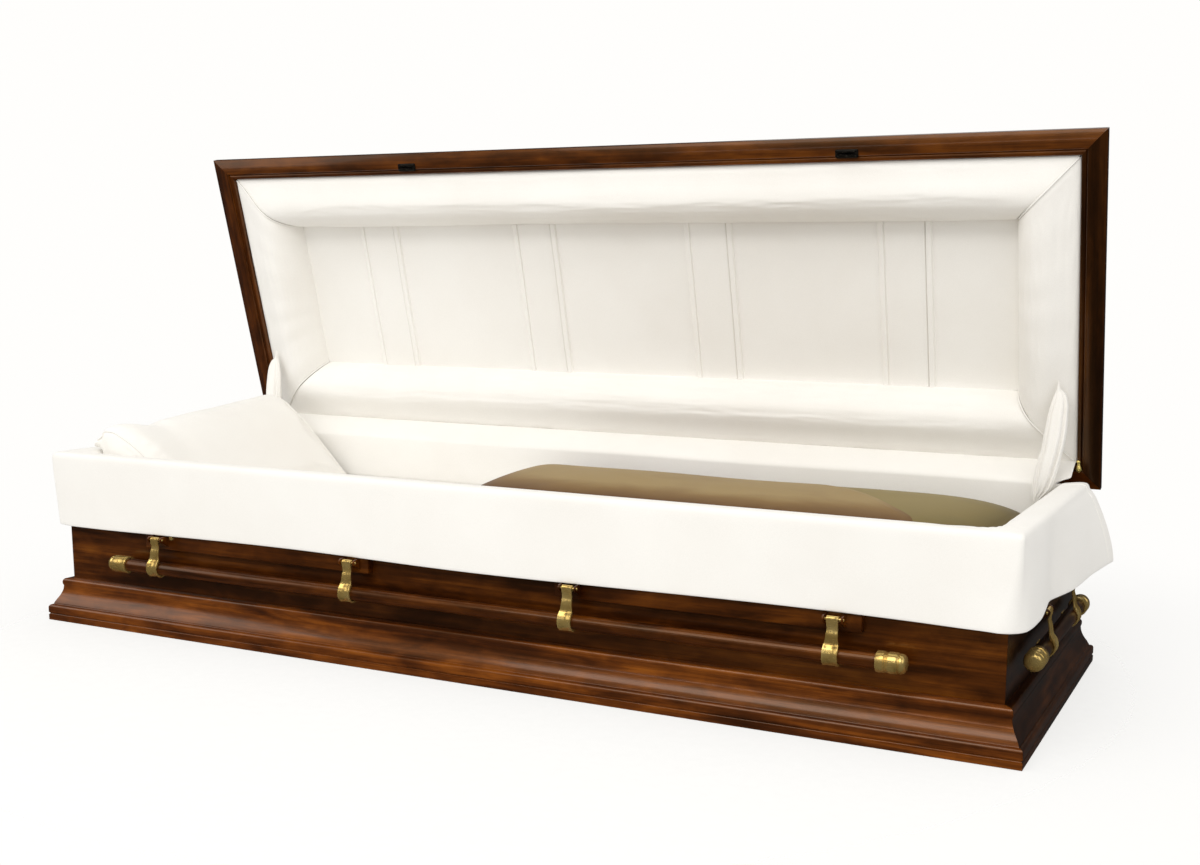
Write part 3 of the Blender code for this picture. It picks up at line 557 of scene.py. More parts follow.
def inset_line(line, amounts):
    """Each point of a closed outline moved inwards, across the outline, by its own amount."""
    p = np.array(line)
    ahead, behind = np.roll(p, -1, axis=0), np.roll(p, 1, axis=0)
    tangent = ahead - behind
    tangent /= np.maximum(np.linalg.norm(tangent, axis=1, keepdims=True), 1e-9)
    normal = np.stack([-tangent[:, 1], tangent[:, 0]], axis=1)
    area = 0.5 * np.sum(p[:, 0] * ahead[:, 1] - ahead[:, 0] * p[:, 1])
    return p + normal * (np.sign(area) * np.asarray(amounts)[:, None])


def half_width(up):
    """Half the arm's width at a height: wide band, narrow neck, rolled eye."""
    heights = (-0.09, -0.046, -0.0415, -0.034, -0.016, -0.011, 0.01)
    shares = (0.5, 0.5, 0.485, 0.41, 0.36, 0.37, 0.4)
    return ARM_W * float(np.interp(up, heights, shares))


def arm(name, middle, outward, along, body, node):
    """A strap arm with raised edges on its outer face."""
    line = np.array(arm_outline())
    front = np.array([1.0 if out > 0.003 and up < 0.004 else 0.0 for out, up in line])
    front = np.convolve(np.concatenate([front[-2:], front, front[:2]]), np.ones(5) / 5, "valid")
    everywhere = np.ones(len(line))
    stations = [(-1.0, everywhere * 0.0007), (-0.96, everywhere * 0.0), (-0.8, everywhere * 0.0),
                (-0.66, front * 0.0016), (0.66, front * 0.0016), (0.8, everywhere * 0.0),
                (0.96, everywhere * 0.0), (1.0, everywhere * 0.0007)]
    rows = []
    for share, amounts in stations:
        shifted = inset_line(line, amounts)
        row = []
        for (out, up), (_, at_up) in zip(shifted, line):
            place = along * (share * half_width(at_up))
            row.append(tuple(middle + outward * out + place + Vector((0, 0, up))))
        rows.append(row)
    dress(surface(name, rows), body, node, "brass", 50)


CAP_PROFILE = outline(
    [(0.0, 0.0)],
    ([(0.0, 0.007), (0.0009, 0.0112), (0.003, 0.0142), (0.0062, 0.0162), (0.0096, 0.0171)], 4),
    ([(0.0096, 0.0171), (0.011, 0.016), (0.0124, 0.0158), (0.0136, 0.017), (0.0156, CAP_R)], 3),
    ([(0.029, CAP_R), (0.0302, 0.0164), (0.0316, 0.0158), (0.0328, 0.0168)], 3),
    ([(0.0328, 0.0168), (0.034, 0.0159), (0.0354, 0.0166), (0.0364, CAP_R)], 3),
    [(0.0484, CAP_R), (0.0496, 0.0174), (CAP_L, 0.016), (CAP_L, BAR_R + 0.0005),
     (0.0117, BAR_R + 0.0005), (0.0117, 0.0)],
)


def strip(name, side, low, high, thick, node):
    """Wooden mounting strip with softened edges."""
    outward, along, face = side_frame(side)
    edge = 0.0022
    section = [(GAP, STRIP_LOW), (thick - edge, STRIP_LOW)]
    section += arc((thick - edge, STRIP_LOW + edge), edge, -90, 0, 4)[1:]
    section += arc((thick - edge, STRIP_HIGH - edge), edge, 0, 90, 4) + [(GAP, STRIP_HIGH)]
    middle = np.array([thick / 2, (STRIP_LOW + STRIP_HIGH) / 2])
    rows = []
    for place, shrink in ((low, 0.0016), (low + 0.0006, 0.0005), (low + 0.0018, 0.0), (high - 0.0018, 0.0),
                          (high - 0.0006, 0.0005), (high, 0.0016)):
        row = []
        for out, up in section:
            inwards = np.sign(middle - np.array([out, up])) * np.array([shrink if out > GAP else 0, shrink])
            out2, up2 = np.array([out, up]) + inwards
            row.append(tuple(outward * (face + out2) + along * place + Vector((0, 0, up2))))
        rows.append(row)
    dress(surface(name, rows), "casket_body", node, GRAIN[side])


def ears(name, side, sizes, position, node):
    """A pair of wooden lugs on the strip, and the brass pin through them."""
    pivot, outward, along = handle_frame(side, sizes["out"])
    pivot = pivot + along * position
    base = sizes["thick"] + 0.0002 - sizes["out"]
    side_line = [(base - 0.0012, 0.0072), (base - 0.0012, -0.0162)] + arc((0, 0), 0.0062, -84, 84, 14)
    lugs = []
    for sign in (-1, 1):
        near, far = sorted((sign * 0.015, sign * 0.0182))
        rows = []
        for place, shrink in ((near, 0.0004), (near + 0.0004, 0.0), (far - 0.0004, 0.0), (far, 0.0004)):
            moved = inset_line(side_line, np.full(len(side_line), shrink))
            rows.append([tuple(pivot + outward * o + along * place + Vector((0, 0, u))) for o, u in moved])
        lugs.append(surface(f"{name}_lug", rows))
    dress(joined(f"{name}_lugs", lugs), "casket_body", node, GRAIN[side], 50)
    pin_end = [(0.0183, PIN_R), (0.0188, 0.0022), (0.0194, 0.0012), (0.0196, 0.0)]
    pin = [(-distance, radius) for distance, radius in reversed(pin_end)] + pin_end
    dress(turned(f"{name}_pin", pin, pivot, along, 20), "casket_body", node, "brass", 50)


def knob(name, side, thick, position, up, node):
    """Small domed brass screw head on a mounting strip."""
    outward, along, face = side_frame(side)
    at = outward * (face + thick) + along * position + Vector((0, 0, up))
    line = [(-0.0004, 0.0), (-0.0004, 0.0052), (0.0012, 0.0053), (0.003, 0.0046), (0.0043, 0.003),
            (0.0049, 0.0)]
    dress(turned(name, line, at, outward, 24), "casket_body", node, "brass", 50)


def joined(name, pieces):
    """Several meshes as one object."""
    bm = bmesh.new()
    for piece in pieces:
        bm.from_mesh(piece.data)
        bpy.data.objects.remove(piece)
    mesh = bpy.data.meshes.new(name)
    bm.to_mesh(mesh)
    bm.free()
    return linked(name, mesh)


LONG = {"half": 0.8725, "out": 0.03, "arms": (-0.7455, -0.2455, 0.2455, 0.7455), "thick": 0.015}
SHORT = {"half": 0.245, "out": 0.027, "arms": (-0.12, 0.12), "thick": 0.012}
LONG["strips"] = (("head", -0.79, -0.209), ("foot", 0.209, 0.79))
SHORT["strips"] = ((None, -0.17, 0.17),)
KNOB_X = LONG["arms"][0] + 0.0295


def handle(side):
    sizes = LONG if side in LONG_SIDES else SHORT
    pivot, outward, along = handle_frame(side, sizes["out"])
    body, half = f"handle_{side}", sizes["half"]
    centre = pivot + Vector((0, 0, -ARM_DROP))
    reach = half - 0.012
    bar = turned(f"bar_{side}", [(-reach, 0), (-reach, BAR_R), (reach, BAR_R), (reach, 0)], centre, along)
    dress(bar, body, f"handle_bar_{side}", GRAIN[side])
    ends = ("head", "foot") if side in LONG_SIDES else ("near", "far")
    for end, sign in zip(ends, (-1, 1)):
        line = [(-distance, radius) for distance, radius in CAP_PROFILE]
        cap = turned(f"cap_{side}_{end}", line, centre + along * (sign * half), along * sign)
        dress(cap, body, f"handle_cap_{side}_{end}", "brass")
    for k, position in enumerate(sizes["arms"]):
        label = f"arm_{side}_{k + 1}"
        arm(label, pivot + along * position, outward, along, body, f"handle_{label}")
    for end, low, high in sizes["strips"]:
        label = f"strip_{side}_{end}" if end else f"strip_{side}"
        strip(label, side, low, high, sizes["thick"], f"handle_{label}")
        for k, position in enumerate(sizes["arms"]):
            if low < position < high:
                ears(f"bracket_{side}_{k + 1}", side, sizes, position, f"handle_{label}")


for side in SIDES:
    handle(side)
for side, place, end in (("front", KNOB_X, "head"), ("back", -KNOB_X, "foot")):
    knob(f"knob_{side}", side, LONG["thick"], place, PIVOT_Z + 0.004, f"handle_strip_{side}_{end}")


# Latch plates and lid pins.
def latch_plate(name, x, node):
    """Dark plate with rounded ends, a keyhole slot edge and three small screws."""
    y, top = -LID_Y + 0.0307, LID_Z - GAP
    half, wide, thick = 0.0237, 0.0085, 0.0015
    r = 0.0035
    line = []
    for sx, sy, start in ((1, 1, 0), (-1, 1, 90), (-1, -1, 180), (1, -1, 270)):
        line += arc((sx * (half - r), sy * (wide - r)), r, start, start + 90, 5)
    rows = []
    for shrink, z in ((0.0, top), (0.0, top - thick + 0.0004), (0.0004, top - thick), (0.006, top - thick),
                      (0.0064, top - thick + 0.0006), (0.0075, top - thick + 0.0006)):
        moved = inset_line(line, np.full(len(line), shrink))
        rows.append([(x + px, y + py, z) for px, py in moved])
    pieces = [surface(f"{name}_plate", swing_open(rows))]
    axis = swing_open((0, 0, -1)) - swing_open((0, 0, 0))
    for shift in (-0.0185, 0.0, 0.0185):
        head = [(-0.0003, 0.0), (-0.0003, 0.0021), (0.0004, 0.002), (0.0007, 0.0012), (0.0008, 0.0)]
        at = swing_open((x + shift, y + 0.005, top - thick))
        pieces.append(turned(f"{name}_screw", head, at, axis, 16))
    dress(joined(name, pieces), "lid", node, "black", 50)


for end, x in (("head", -0.489), ("foot", 0.564)):
    latch_plate(f"latch_{end}", x, f"latch_plate_{end}")


STOP_PIN_AT = (1.0166, 0.3484, 0.407)
STOP_PIN = ((0.0, 0.0), (0.0, 0.003), (0.0016, 0.004), (0.0036, 0.0042), (0.0052, 0.003), (0.008, 0.0032),
            (0.012, 0.0046), (0.016, 0.0058), (0.019, 0.0062), (0.0206, 0.0056), (0.0216, 0.0034),
            (0.0226, 0.003), (0.024, 0.0018), (0.0244, 0.0))

# Small bell-shaped brass stop pins on the lid's inner rim, close to the hinge, in brass painted lighter:
# painted light.
for end, sign in ENDS.items():
    x, y, z = STOP_PIN_AT
    pin = turned(f"stop_pin_{end}", STOP_PIN, (sign * x, y, z), (sign * 0.06, 0, -1), 24)
    dress(pin, "lid", None, "brass_pin")


# Filling of padded pieces.
FILL_FRAMES = 20


def rebuilt(obj):
    """Applies a piece's modifiers to its mesh."""
    shaped = obj.evaluated_get(bpy.context.evaluated_depsgraph_get())
    mesh = bpy.data.meshes.new_from_object(shaped)
    obj.modifiers.clear()
    obj.data = mesh


def points_of(mesh):
    flat = np.empty(len(mesh.vertices) * 3)
    mesh.vertices.foreach_get("co", flat)
    return flat.reshape(-1, 3)


def move_points(obj, place):
    obj.data.vertices.foreach_set("co", place.ravel())
    obj.data.update()


def filled(obj, voxel, pressure, cap, held=None, room=None, stiff=0.5):
    """Swells a padded piece by cloth simulation. Points in held stay, and none leaves cap or room."""
    if voxel:
        remesh = obj.modifiers.new("remesh", "REMESH")
        remesh.mode = "VOXEL"
        remesh.voxel_size = voxel
        rebuilt(obj)
    start = points_of(obj.data)
    filling = obj.modifiers.new("filling", "CLOTH")
    settings = filling.settings
    settings.quality = 5
    settings.bending_stiffness = stiff
    settings.use_pressure = True
    settings.uniform_pressure_force = pressure
    settings.effector_weights.gravity = 0.0
    filling.collision_settings.use_collision = False
    if held is not None:
        group = obj.vertex_groups.new(name="held")
        group.add([int(k) for k in np.flatnonzero(held(start))], 1.0, "REPLACE")
        settings.vertex_group_mass = "held"
    filling.point_cache.frame_start = 1
    filling.point_cache.frame_end = FILL_FRAMES
    for number in range(1, FILL_FRAMES + 1):
        bpy.context.scene.frame_set(number)
    moved = points_of(obj.evaluated_get(bpy.context.evaluated_depsgraph_get()).data) - start
    obj.modifiers.clear()
    bpy.context.scene.frame_set(1)
    length = np.linalg.norm(moved, axis=1, keepdims=True)
    place = start + moved * np.tanh(length / cap) * cap / np.maximum(length, 1e-9)
    if room:
        place = np.clip(place, *room(start))
    obj.vertex_groups.clear()
    move_points(obj, place)
    smooth = obj.modifiers.new("smooth", "SUBSURF")
    smooth.levels = smooth.render_levels = 1
    rebuilt(obj)


# Lid padding.
ROLL_FACE = curve([(RAIL_W + 0.0006, 0.015), (0.05, 0.0112), (0.06, 0.0088), (0.072, 0.0062),
                   (0.086, 0.0018), (0.102, -0.004), (0.117, -0.0078), (0.129, -0.0084),
                   (0.14, -0.0054), (0.15, 0.0026), (0.159, 0.015), (0.167, 0.031),
                   (0.173, 0.049), (0.1765, 0.068), (0.1772, 0.081)], 4)
ROLL_BACK = [(0.174, 0.0835), (0.12, 0.076), (0.07, 0.064), (RAIL_W + 0.0006, 0.056)]


def crowded(count, low, high, weight):
    """Places from low to high, closer together near both ends."""
    u = np.linspace(0, 1, count)
    return low + (high - low) * (u - weight * np.sin(2 * pi * u) / (2 * pi))


def roll(name, side):
    """One padded roll of the lid, drawn in towards the piped seam at each mitre."""
    section = np.vstack([ROLL_FACE, ROLL_BACK])
    last = len(ROLL_FACE) - 1
    half, depth = (LID_X, LID_Y) if side in LONG_SIDES else (LID_Y, LID_X)
    wobble = np.random.default_rng(11 + SIDES.index(side))
    waves = [(wobble.uniform(1.5, 9.0), wobble.uniform(0, 6.28), wobble.uniform(-1, 1)) for _ in range(5)]
    rows = []
    for t in crowded(150 if side in LONG_SIDES else 70, 0, 1, 0.85):
        slow = sum(a * sin(f * t * 2 * pi + p) for f, p, a in waves)
        row = []
        for k, (d, h) in enumerate(section):
            reach = half - d
            if k <= last:
                distance = reach - abs((2 * t - 1) * reach)
                belly = sin(pi * (k / last))
                pinch = 0.003 * exp(-distance / 0.012) * belly ** 0.5
                slack = 0.0018 * min(1.0, distance / 0.07)
                slope = ROLL_FACE[min(k + 1, last)] - ROLL_FACE[max(k - 1, 0)]
                normal = np.array([slope[1], -slope[0]]) / np.linalg.norm(slope)
                d, h = np.array([d, h]) + normal * ((0.0006 * slow - slack) * belly - pinch)
                h = max(h, 0.006 - 0.28 * max(0.0, d - 0.06))
            row.append(on_side(side, (2 * t - 1) * (reach - 0.0004), depth - d, LID_Z + h))
        rows.append(row)
    return surface(name, swing_open(rows))


def roll_held(start):
    """The roll's back, its two long edges and its mitred ends are sewn down."""
    flat = about_hinge(start, -LID_OPEN)
    across = np.minimum(LID_X - np.abs(flat[:, 0]), LID_Y - np.abs(flat[:, 1]))
    mitre = np.abs((LID_X - np.abs(flat[:, 0])) - (LID_Y - np.abs(flat[:, 1]))) < 0.004
    height = flat[:, 2] - LID_Z
    depths = (0.05, 0.07, 0.12, 0.1715, 0.178)
    back = height > np.interp(across, depths, (0.03, 0.04, 0.055, 0.07, 0.072))
    return mitre | back | (across < RAIL_W + 0.003) | (across > ROLL_W - 0.0012)


for side in SIDES:
    piece = roll(f"roll_{side}", side)
    filled(piece, 0, 2.0, 0.0035, roll_held, stiff=25.0)
    dress(piece, "lid", "lid_roll", "roll", 60)


def tube_along(name, path, radius, steps=10):
    """A round tube through the points of a path."""
    path = np.asarray(path, float)
    tangents = np.gradient(path, axis=0)
    rows = []
    side = Vector((0.3, 0.2, 0.9))
    for p, t in zip(path, tangents):
        t = Vector(t).normalized()
        u = (side - t * side.dot(t)).normalized()
        v = t.cross(u)
        side = u
        rows.append([tuple(Vector(p) + (u * cos(a) + v * sin(a)) * radius)
                     for a in round_angles(steps)])
    return surface(name, rows)


def piping(name, sx, sy):
    """Piped cord in the mitred seam between two rolls."""
    path = [(sx * (LID_X - d), sy * (LID_Y - d), LID_Z + h + 0.0004) for d, h in ROLL_FACE[5:-3]]
    return tube_along(name, swing_open(path), 0.0017)


for end, sx in ENDS.items():
    for side, sy in (("front", -1), ("back", 1)):
        dress(piping(f"piping_{side}_{end}", sx, sy), "lid", None, "white")


PLEAT_IN, PLEAT_OUT = 0.043, 0.0572
PLEAT_STEPS = (0.0, 0.02, *(PLEAT_IN + step for step in (-0.0022, -0.001, 0.0, 0.0008, 0.002)),
               (PLEAT_IN + PLEAT_OUT) / 2, *(PLEAT_OUT + step for step in (-0.0022, -0.0006, 0.0004, 0.002)))


def pleat_height(offset):
    """How far the lid panel's cloth stands proud, by the signed distance from a band's middle."""
    groove = -0.0016 if offset > 0 else 0.0006
    strip = 0.0042 if offset > 0 else 0.0034
    heights = (0.0026, 0.0026, 0.0025, 0.0019, groove, groove, strip, strip + 0.0003, strip - 0.0004, 0.0012,
               -0.0005, 0.0)
    return float(np.interp(abs(offset), PLEAT_STEPS, heights))


def lid_panel():
    """The recessed panel: plain cloth with four bands, each between two sewn pleats."""
    half_x, half_y = LID_X - ROLL_W + 0.0014, LID_Y - ROLL_W + 0.0014
    near, far = LID_Z + PANEL_H, LID_Z + PANEL_H + 0.0045
    places = set(np.linspace(-half_x, half_x, 60))
    for x in BAND_X:
        for d in PLEAT_STEPS:
            places |= {x - d, x + d}
    places = sorted(p for p in places if -half_x <= p <= half_x)
    front, back = [], []
    for y in np.linspace(-half_y, half_y, 26):
        edge = min(1.0, (half_y - abs(y)) / 0.03)
        front_row, back_row = [], []
        for x in places:
            nearest = min((x - b for b in BAND_X), key=abs)
            soft = 0.0009 * sin(7.0 * x + 9.0 * y) * sin(17.0 * y + 3.0 * x) * edge
            front_row.append((x, y, near - pleat_height(nearest) + soft))
            back_row.append((x, y, far))
        front.append(front_row)
        back.append(back_row)
    rows = [f + b[::-1] for f, b in zip(front, back)]
    return surface("panel_cloth", swing_open(rows))


panel = lid_panel()
dress(panel, "lid", "lid_panel", "white", 50)


# Interior of the body.
def wall_lining(side):
    """Padded lining of one inner wall."""
    reach, depth = (LINING_X, LINING_Y) if side in LONG_SIDES else (LINING_Y, LINING_X)
    reach -= 0.0004
    low, high = DECK_Z + 0.002, RIM_Z - 0.0005
    rows = []
    for t in np.linspace(-1, 1, 90 if side in LONG_SIDES else 40):
        line = []
        for share in np.arange(13) / 12:
            puff = LINING_T - 0.0012 * (1 - sin(pi * share)) ** 2
            soft = 0.0004 * sin(13 * t * reach + 6 * share)
            line.append((depth - puff - soft, low + (high - low) * share))
        line += [(depth, high), (depth, low)]
        rows.append([on_side(side, t * (reach - LINING_T), out, z) for out, z in line])
    return surface(f"lining_{side}", rows)


for side in SIDES:
    piece = wall_lining(side)
    dress(piece, "casket_body", "body_lining", "white", 60)


def mattress():
    """Mattress: crowned top with rounded edges and shallow tufts."""
    low, high = DECK_Z + 0.0006, BED_Z - 0.0012
    rows, levels = [], []
    for k in range(6):
        a = pi / 2 * k / 5
        levels.append((0.016 * (1 - sin(a)), low + 0.014 * (1 - cos(a))))
    levels += [(0.0, low + (high - low) * 0.5)]
    for k in range(6):
        a = pi / 2 * k / 5
        levels.append((0.016 * (1 - cos(a)), high - 0.016 + 0.014 * sin(a)))
    inner_count = 26
    for inset, z in levels:
        rows.append(rounded_rectangle(BED_X - 0.004 - inset, BED_Y - 0.004 - inset, 0.03, z))
    for k in range(1, inner_count):
        share = k / inner_count
        half_x, half_y = (BED_X - 0.02) * (1 - share), (BED_Y - 0.02) * (1 - share)
        top = high - 0.002 + 0.0012 * min(1.0, 4 * share)
        rows.append(rounded_rectangle(half_x, half_y, 0.026 * (1 - share), top))
    return surface("mattress_pad", rows)


def rounded_rectangle(half_x, half_y, radius, z, steps=6, straight=14):
    """A closed line round a rectangle with rounded corners, evenly filled along its sides."""
    corners = []
    for sx, sy, start in ((1, 1, 0), (-1, 1, 90), (-1, -1, 180), (1, -1, 270)):
        centre = (sx * (half_x - radius), sy * (half_y - radius))
        corners.append(arc(centre, radius, start, start + 90, steps))
    line = []
    for k in range(4):
        line += corners[k]
        a, b = np.array(corners[k][-1]), np.array(corners[(k + 1) % 4][0])
        line += [tuple(a + (b - a) * t) for t in np.linspace(0, 1, straight + 2)[1:-1]]
    return [[x, y, z] for x, y in line]


def tufted(obj):
    """Sewn dimples over the mattress's top."""
    place = points_of(obj.data)
    for x in np.linspace(-0.8, 0.8, 7):
        for y in (-0.14, 0.14):
            near = np.exp(-((place[:, 0] - x) ** 2 + (place[:, 1] - y) ** 2) / 0.0012)
            place[:, 2] -= 0.0055 * near * (place[:, 2] > BED_Z - 0.02)
    move_points(obj, place)


def mattress_room(start):
    """Opposite corners of the space between the linings."""
    x, y = BED_X - 0.0006, BED_Y - 0.0006
    return (-x, -y, DECK_Z + 0.0006), (x, y, BED_Z)


pad = mattress()
filled(pad, 0.013, 2.0, 0.004, room=mattress_room)
tufted(pad)
dress(pad, "casket_body", "mattress", "ticking", 60)


def back_curtain():
    """The back wall's cloth, from the bed up over the rim and across the hinge to the lid's lower roll."""
    over = ((-0.0012, -0.012), (0.0012, 0.0014), (0.014, 0.0122), (0.031, 0.0228), (0.05, 0.0332),
            (0.064, 0.0376), (0.07, 0.038))
    line = curve([(BED_Y - 0.0012, BED_Z + 0.001), (BED_Y - 0.0014, BED_Z + 0.05),
                  *((BED_Y + out, RIM_Z + up) for out, up in over)], 5)
    thick = 0.001
    rows = []
    narrow, wide = BOARD_X - 0.042, LID_X - RAIL_W - 0.0022
    for t in np.linspace(-1, 1, 130):
        row = []
        for k, (y, z) in enumerate(line):
            share = k / (len(line) - 1)
            widen = min(1.0, max(0.0, (z - RIM_Z - 0.002) / 0.012))
            x = t * (narrow + (wide - narrow) * widen * widen * (3 - 2 * widen))
            soft = 0.001 * sin(9 * x + 4 * share) * sin(pi * share)
            row.append((x, y - soft * 0.5, z + soft))
        back = [(x, y + thick, z - thick * 0.6) for x, y, z in reversed(row)]
        rows.append(row + back)
    return surface("back_lining", rows)


curtain = back_curtain()
dress(curtain, None, "hinge_cover", "white", 60)
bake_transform(curtain)


# Overlay: the cloth apron over the rim at the head end, the front and the foot end.
OVER_IN_X, OVER_IN_Y = BOARD_X - 0.0342, BOARD_Y - 0.0342
OVER_OUT_X, OVER_OUT_Y = BOARD_X + 0.0225, BOARD_Y + 0.0225
OVER_BACK_Y = BOARD_Y - 0.0142
OVER_BACK_IN = LINING_Y - LINING_T - 0.001
HEM_Z = RIM_Z - 0.151
OVER_CORNER = 0.0095


def overlay_stations():
    """Places along the apron as (part, share), closer together where the cloth turns or is sewn."""
    stations = [("head", t) for t in np.concatenate([[0.0, 0.006, 0.014], np.linspace(0.03, 0.97, 22)])]
    stations += [("head_corner", t) for t in np.linspace(0, 1, 11)]
    stations += [("front", t) for t in np.linspace(0.01, 0.99, 76)]
    stations += [("foot_corner", t) for t in np.linspace(0, 1, 13)]
    by_seam = [0.925, 0.935, 0.94, 0.9425, 0.945, 0.95, 0.96, 0.975, 0.988, 0.996, 1.0]
    stations += [("foot", t) for t in np.concatenate([np.linspace(0.03, 0.9, 26), by_seam])]
    return stations


def plan_point(part, t, half_x, half_y, radius, back):
    """A point of the apron's plan line and its outward direction."""
    cx, cy = half_x - radius, half_y - radius
    if part == "head":
        return (-half_x, back + (-cy - back) * t), (-1.0, 0.0)
    if part == "foot":
        return (half_x, -cy + (back + cy) * t), (1.0, 0.0)
    if part == "front":
        return (-cx + 2 * cx * t, -half_y), (0.0, -1.0)
    a = pi / 2 * t
    if part == "head_corner":
        n = (-cos(a), -sin(a))
        return (-cx + radius * n[0], -cy + radius * n[1]), n
    n = (sin(a), -cos(a))
    return (cx + radius * n[0], -cy + radius * n[1]), n


FLARE_Y = (-0.32, -0.288, -0.2155, -0.15, -0.094, -0.04, 0.005, 0.08, 0.153, 0.23, 0.302)
FLARE_X = (0.006, 0.0105, 0.011, 0.006, 0.001, 0.013, 0.0225, 0.0285, 0.033, 0.043, 0.0534)


def overlay_push(part, point, z):
    """How far the hanging cloth stands out beyond the rim line at a place and height."""
    fall = min(1.0, max(0.0, (RIM_Z + 0.002 - z) / (RIM_Z + 0.002 - HEM_Z)))
    shape = 1 - (1 - fall) ** 1.6
    x, y = point
    if part == "foot":
        flare = float(np.interp(y, FLARE_Y, FLARE_X))
        return flare * shape
    if part == "foot_corner":
        across = atan2(y + OVER_OUT_Y - 0.0355, x - OVER_OUT_X + 0.0355) + pi / 2
        creases = sum(depth * exp(-((across - place) / 0.2) ** 2)
                      for place, depth in ((0.3, 0.002), (1.05, 0.0026)))
        return 0.0085 * fall ** 1.2 - creases * sin(pi * min(1.0, 0.15 + 0.8 * fall))
    if part == "front":
        near_foot = exp(-((x - 0.99) / 0.06) ** 2)
        near_head = exp(-((x + 1.02) / 0.08) ** 2)
        sway = 0.0016 * sin(5.3 * x + 0.7) + 0.001 * sin(11.0 * x + 2.0)
        return (0.005 * near_foot - 0.004 * near_head + sway + 0.001) * fall
    if part == "head":
        share = min(1.0, max(0.0, (OVER_BACK_Y - y) / (2 * OVER_BACK_Y)))
        return (0.034 * (1 - share) ** 1.6 - 0.004 * share) * shape
    return -0.004 * fall


def hem_height(part, point):
    x, y = point
    wave = 0.0025 * sin(2 * pi * (x + 0.75) / 1.1)
    if part == "front":
        return HEM_Z - 0.0008 + wave * min(1.0, (1.03 - x) / 0.15)
    if part == "foot_corner":
        return HEM_Z - 0.0015
    if part == "foot":
        places = (-0.31, -0.2, -0.1, 0.05, 0.302)
        return HEM_Z + float(np.interp(y, places, (-0.0015, -0.003, 0.002, 0.001, 0.0044)))
    return HEM_Z - 0.002


def seam_depth(y):
    """The stitched seam that runs beside the apron's back edge at the foot end."""
    return exp(-(((OVER_BACK_Y - y) - 0.034) / 0.0022) ** 2)


def head_bulge(part, t):
    """Extra fullness of the cloth round the front corner of the head end."""
    if part == "head":
        return 0.0062 * t * t * (3 - 2 * t)
    return 0.0062 * (1 - t) if part == "head_corner" else 0.0


# The apron's way over the rim, as (share from inner to outer edge, height above the rim).
OVER_TOP = ((0.0, -0.036), (0.0, -0.02), (0.0, -0.008), (0.02, -0.003), (0.07, 0.0008), (0.15, 0.0026),
            (0.3, 0.0036), (0.48, 0.0047), (0.64, 0.0055), (0.8, 0.0054), (0.89, 0.0045), (0.95, 0.0021),
            (0.985, -0.0017), (1.0, -0.0065))


def apron_section(part, t, number):
    """The apron's section at a station: up inside the rim, over it and down outside, and its underside."""
    edge = RIM_Z + OVER_TOP[-1][1]
    inner, _ = plan_point(part, t, OVER_IN_X, OVER_IN_Y, 0.048, OVER_BACK_IN)
    line, under = [], []
    gather = 0.0
    if part == "foot_corner" or (part == "front" and t > 0.965) or (part == "foot" and t < 0.1):
        gather = 0.0015 * sin(number * 2.1)
    outer, normal = plan_point(part, t, OVER_OUT_X, OVER_OUT_Y, OVER_CORNER, OVER_BACK_Y)
    for share, rise in OVER_TOP:
        z = RIM_Z + rise
        x = inner[0] + (outer[0] - head_bulge(part, t) - inner[0]) * share
        y = inner[1] + (outer[1] - inner[1]) * share
        lift = gather * sin(pi * min(1.0, share + 0.15))
        if part == "foot" and share > 0.1:
            lift -= 0.0014 * seam_depth(outer[1])
        line.append(np.array([x, y, z + lift]))
        drop = np.array([0, 0, -0.0017]) if 0.03 < share < 0.97 else np.array([0.0, 0.0, 0.0])
        if share <= 0.03:
            drop = np.array([normal[0], normal[1], 0]) * 0.0026
        elif share >= 0.97:
            drop = np.array([-normal[0] * 0.0032, -normal[1] * 0.0032, -0.0004])
        under.append(line[-1] + drop)
    for k in range(1, 15):
        fall = k / 14
        radius = OVER_CORNER + (0.01 if x < 0 else 0.026) * max(0.0, (fall - 0.2) / 0.8)
        outer, normal = plan_point(part, t, OVER_OUT_X, OVER_OUT_Y, radius, OVER_BACK_Y)
        low = hem_height(part, outer)
        z = edge + (low - edge) * fall
        push = overlay_push(part, outer, z)
        if part == "foot":
            push -= 0.0016 * seam_depth(outer[1])
        place = np.array([outer[0] + normal[0] * push - head_bulge(part, t), outer[1] + normal[1] * push, z])
        line.append(place)
        under.append(place - np.array([normal[0], normal[1], 0]) * (0.0034 if k < 14 else 0.0026))
    return line, under


def overlay():
    """The apron as a closed sheet through the sections of all its stations."""
    rows = []
    for number, (part, t) in enumerate(overlay_stations()):
        line, under = apron_section(part, t, number)
        tip = (line[-1] + under[-1]) / 2 - np.array([0, 0, 0.001])
        rows.append(line + [tip] + under[::-1])
    return surface("apron", rows)


apron = overlay()
subdivision = apron.modifiers.new("smooth", "SUBSURF")
subdivision.levels = subdivision.render_levels = 1
dress(apron, "casket_body", "overlay", "white", 0)
seam_at = 1 - 0.034 / (2 * OVER_BACK_Y - 0.0142)
stitch = tube_along("apron_seam", curve(apron_section("foot", seam_at, 0)[0][5:-1], 3), 0.0012, 8)
dress(stitch, "casket_body", None, "white", 0)


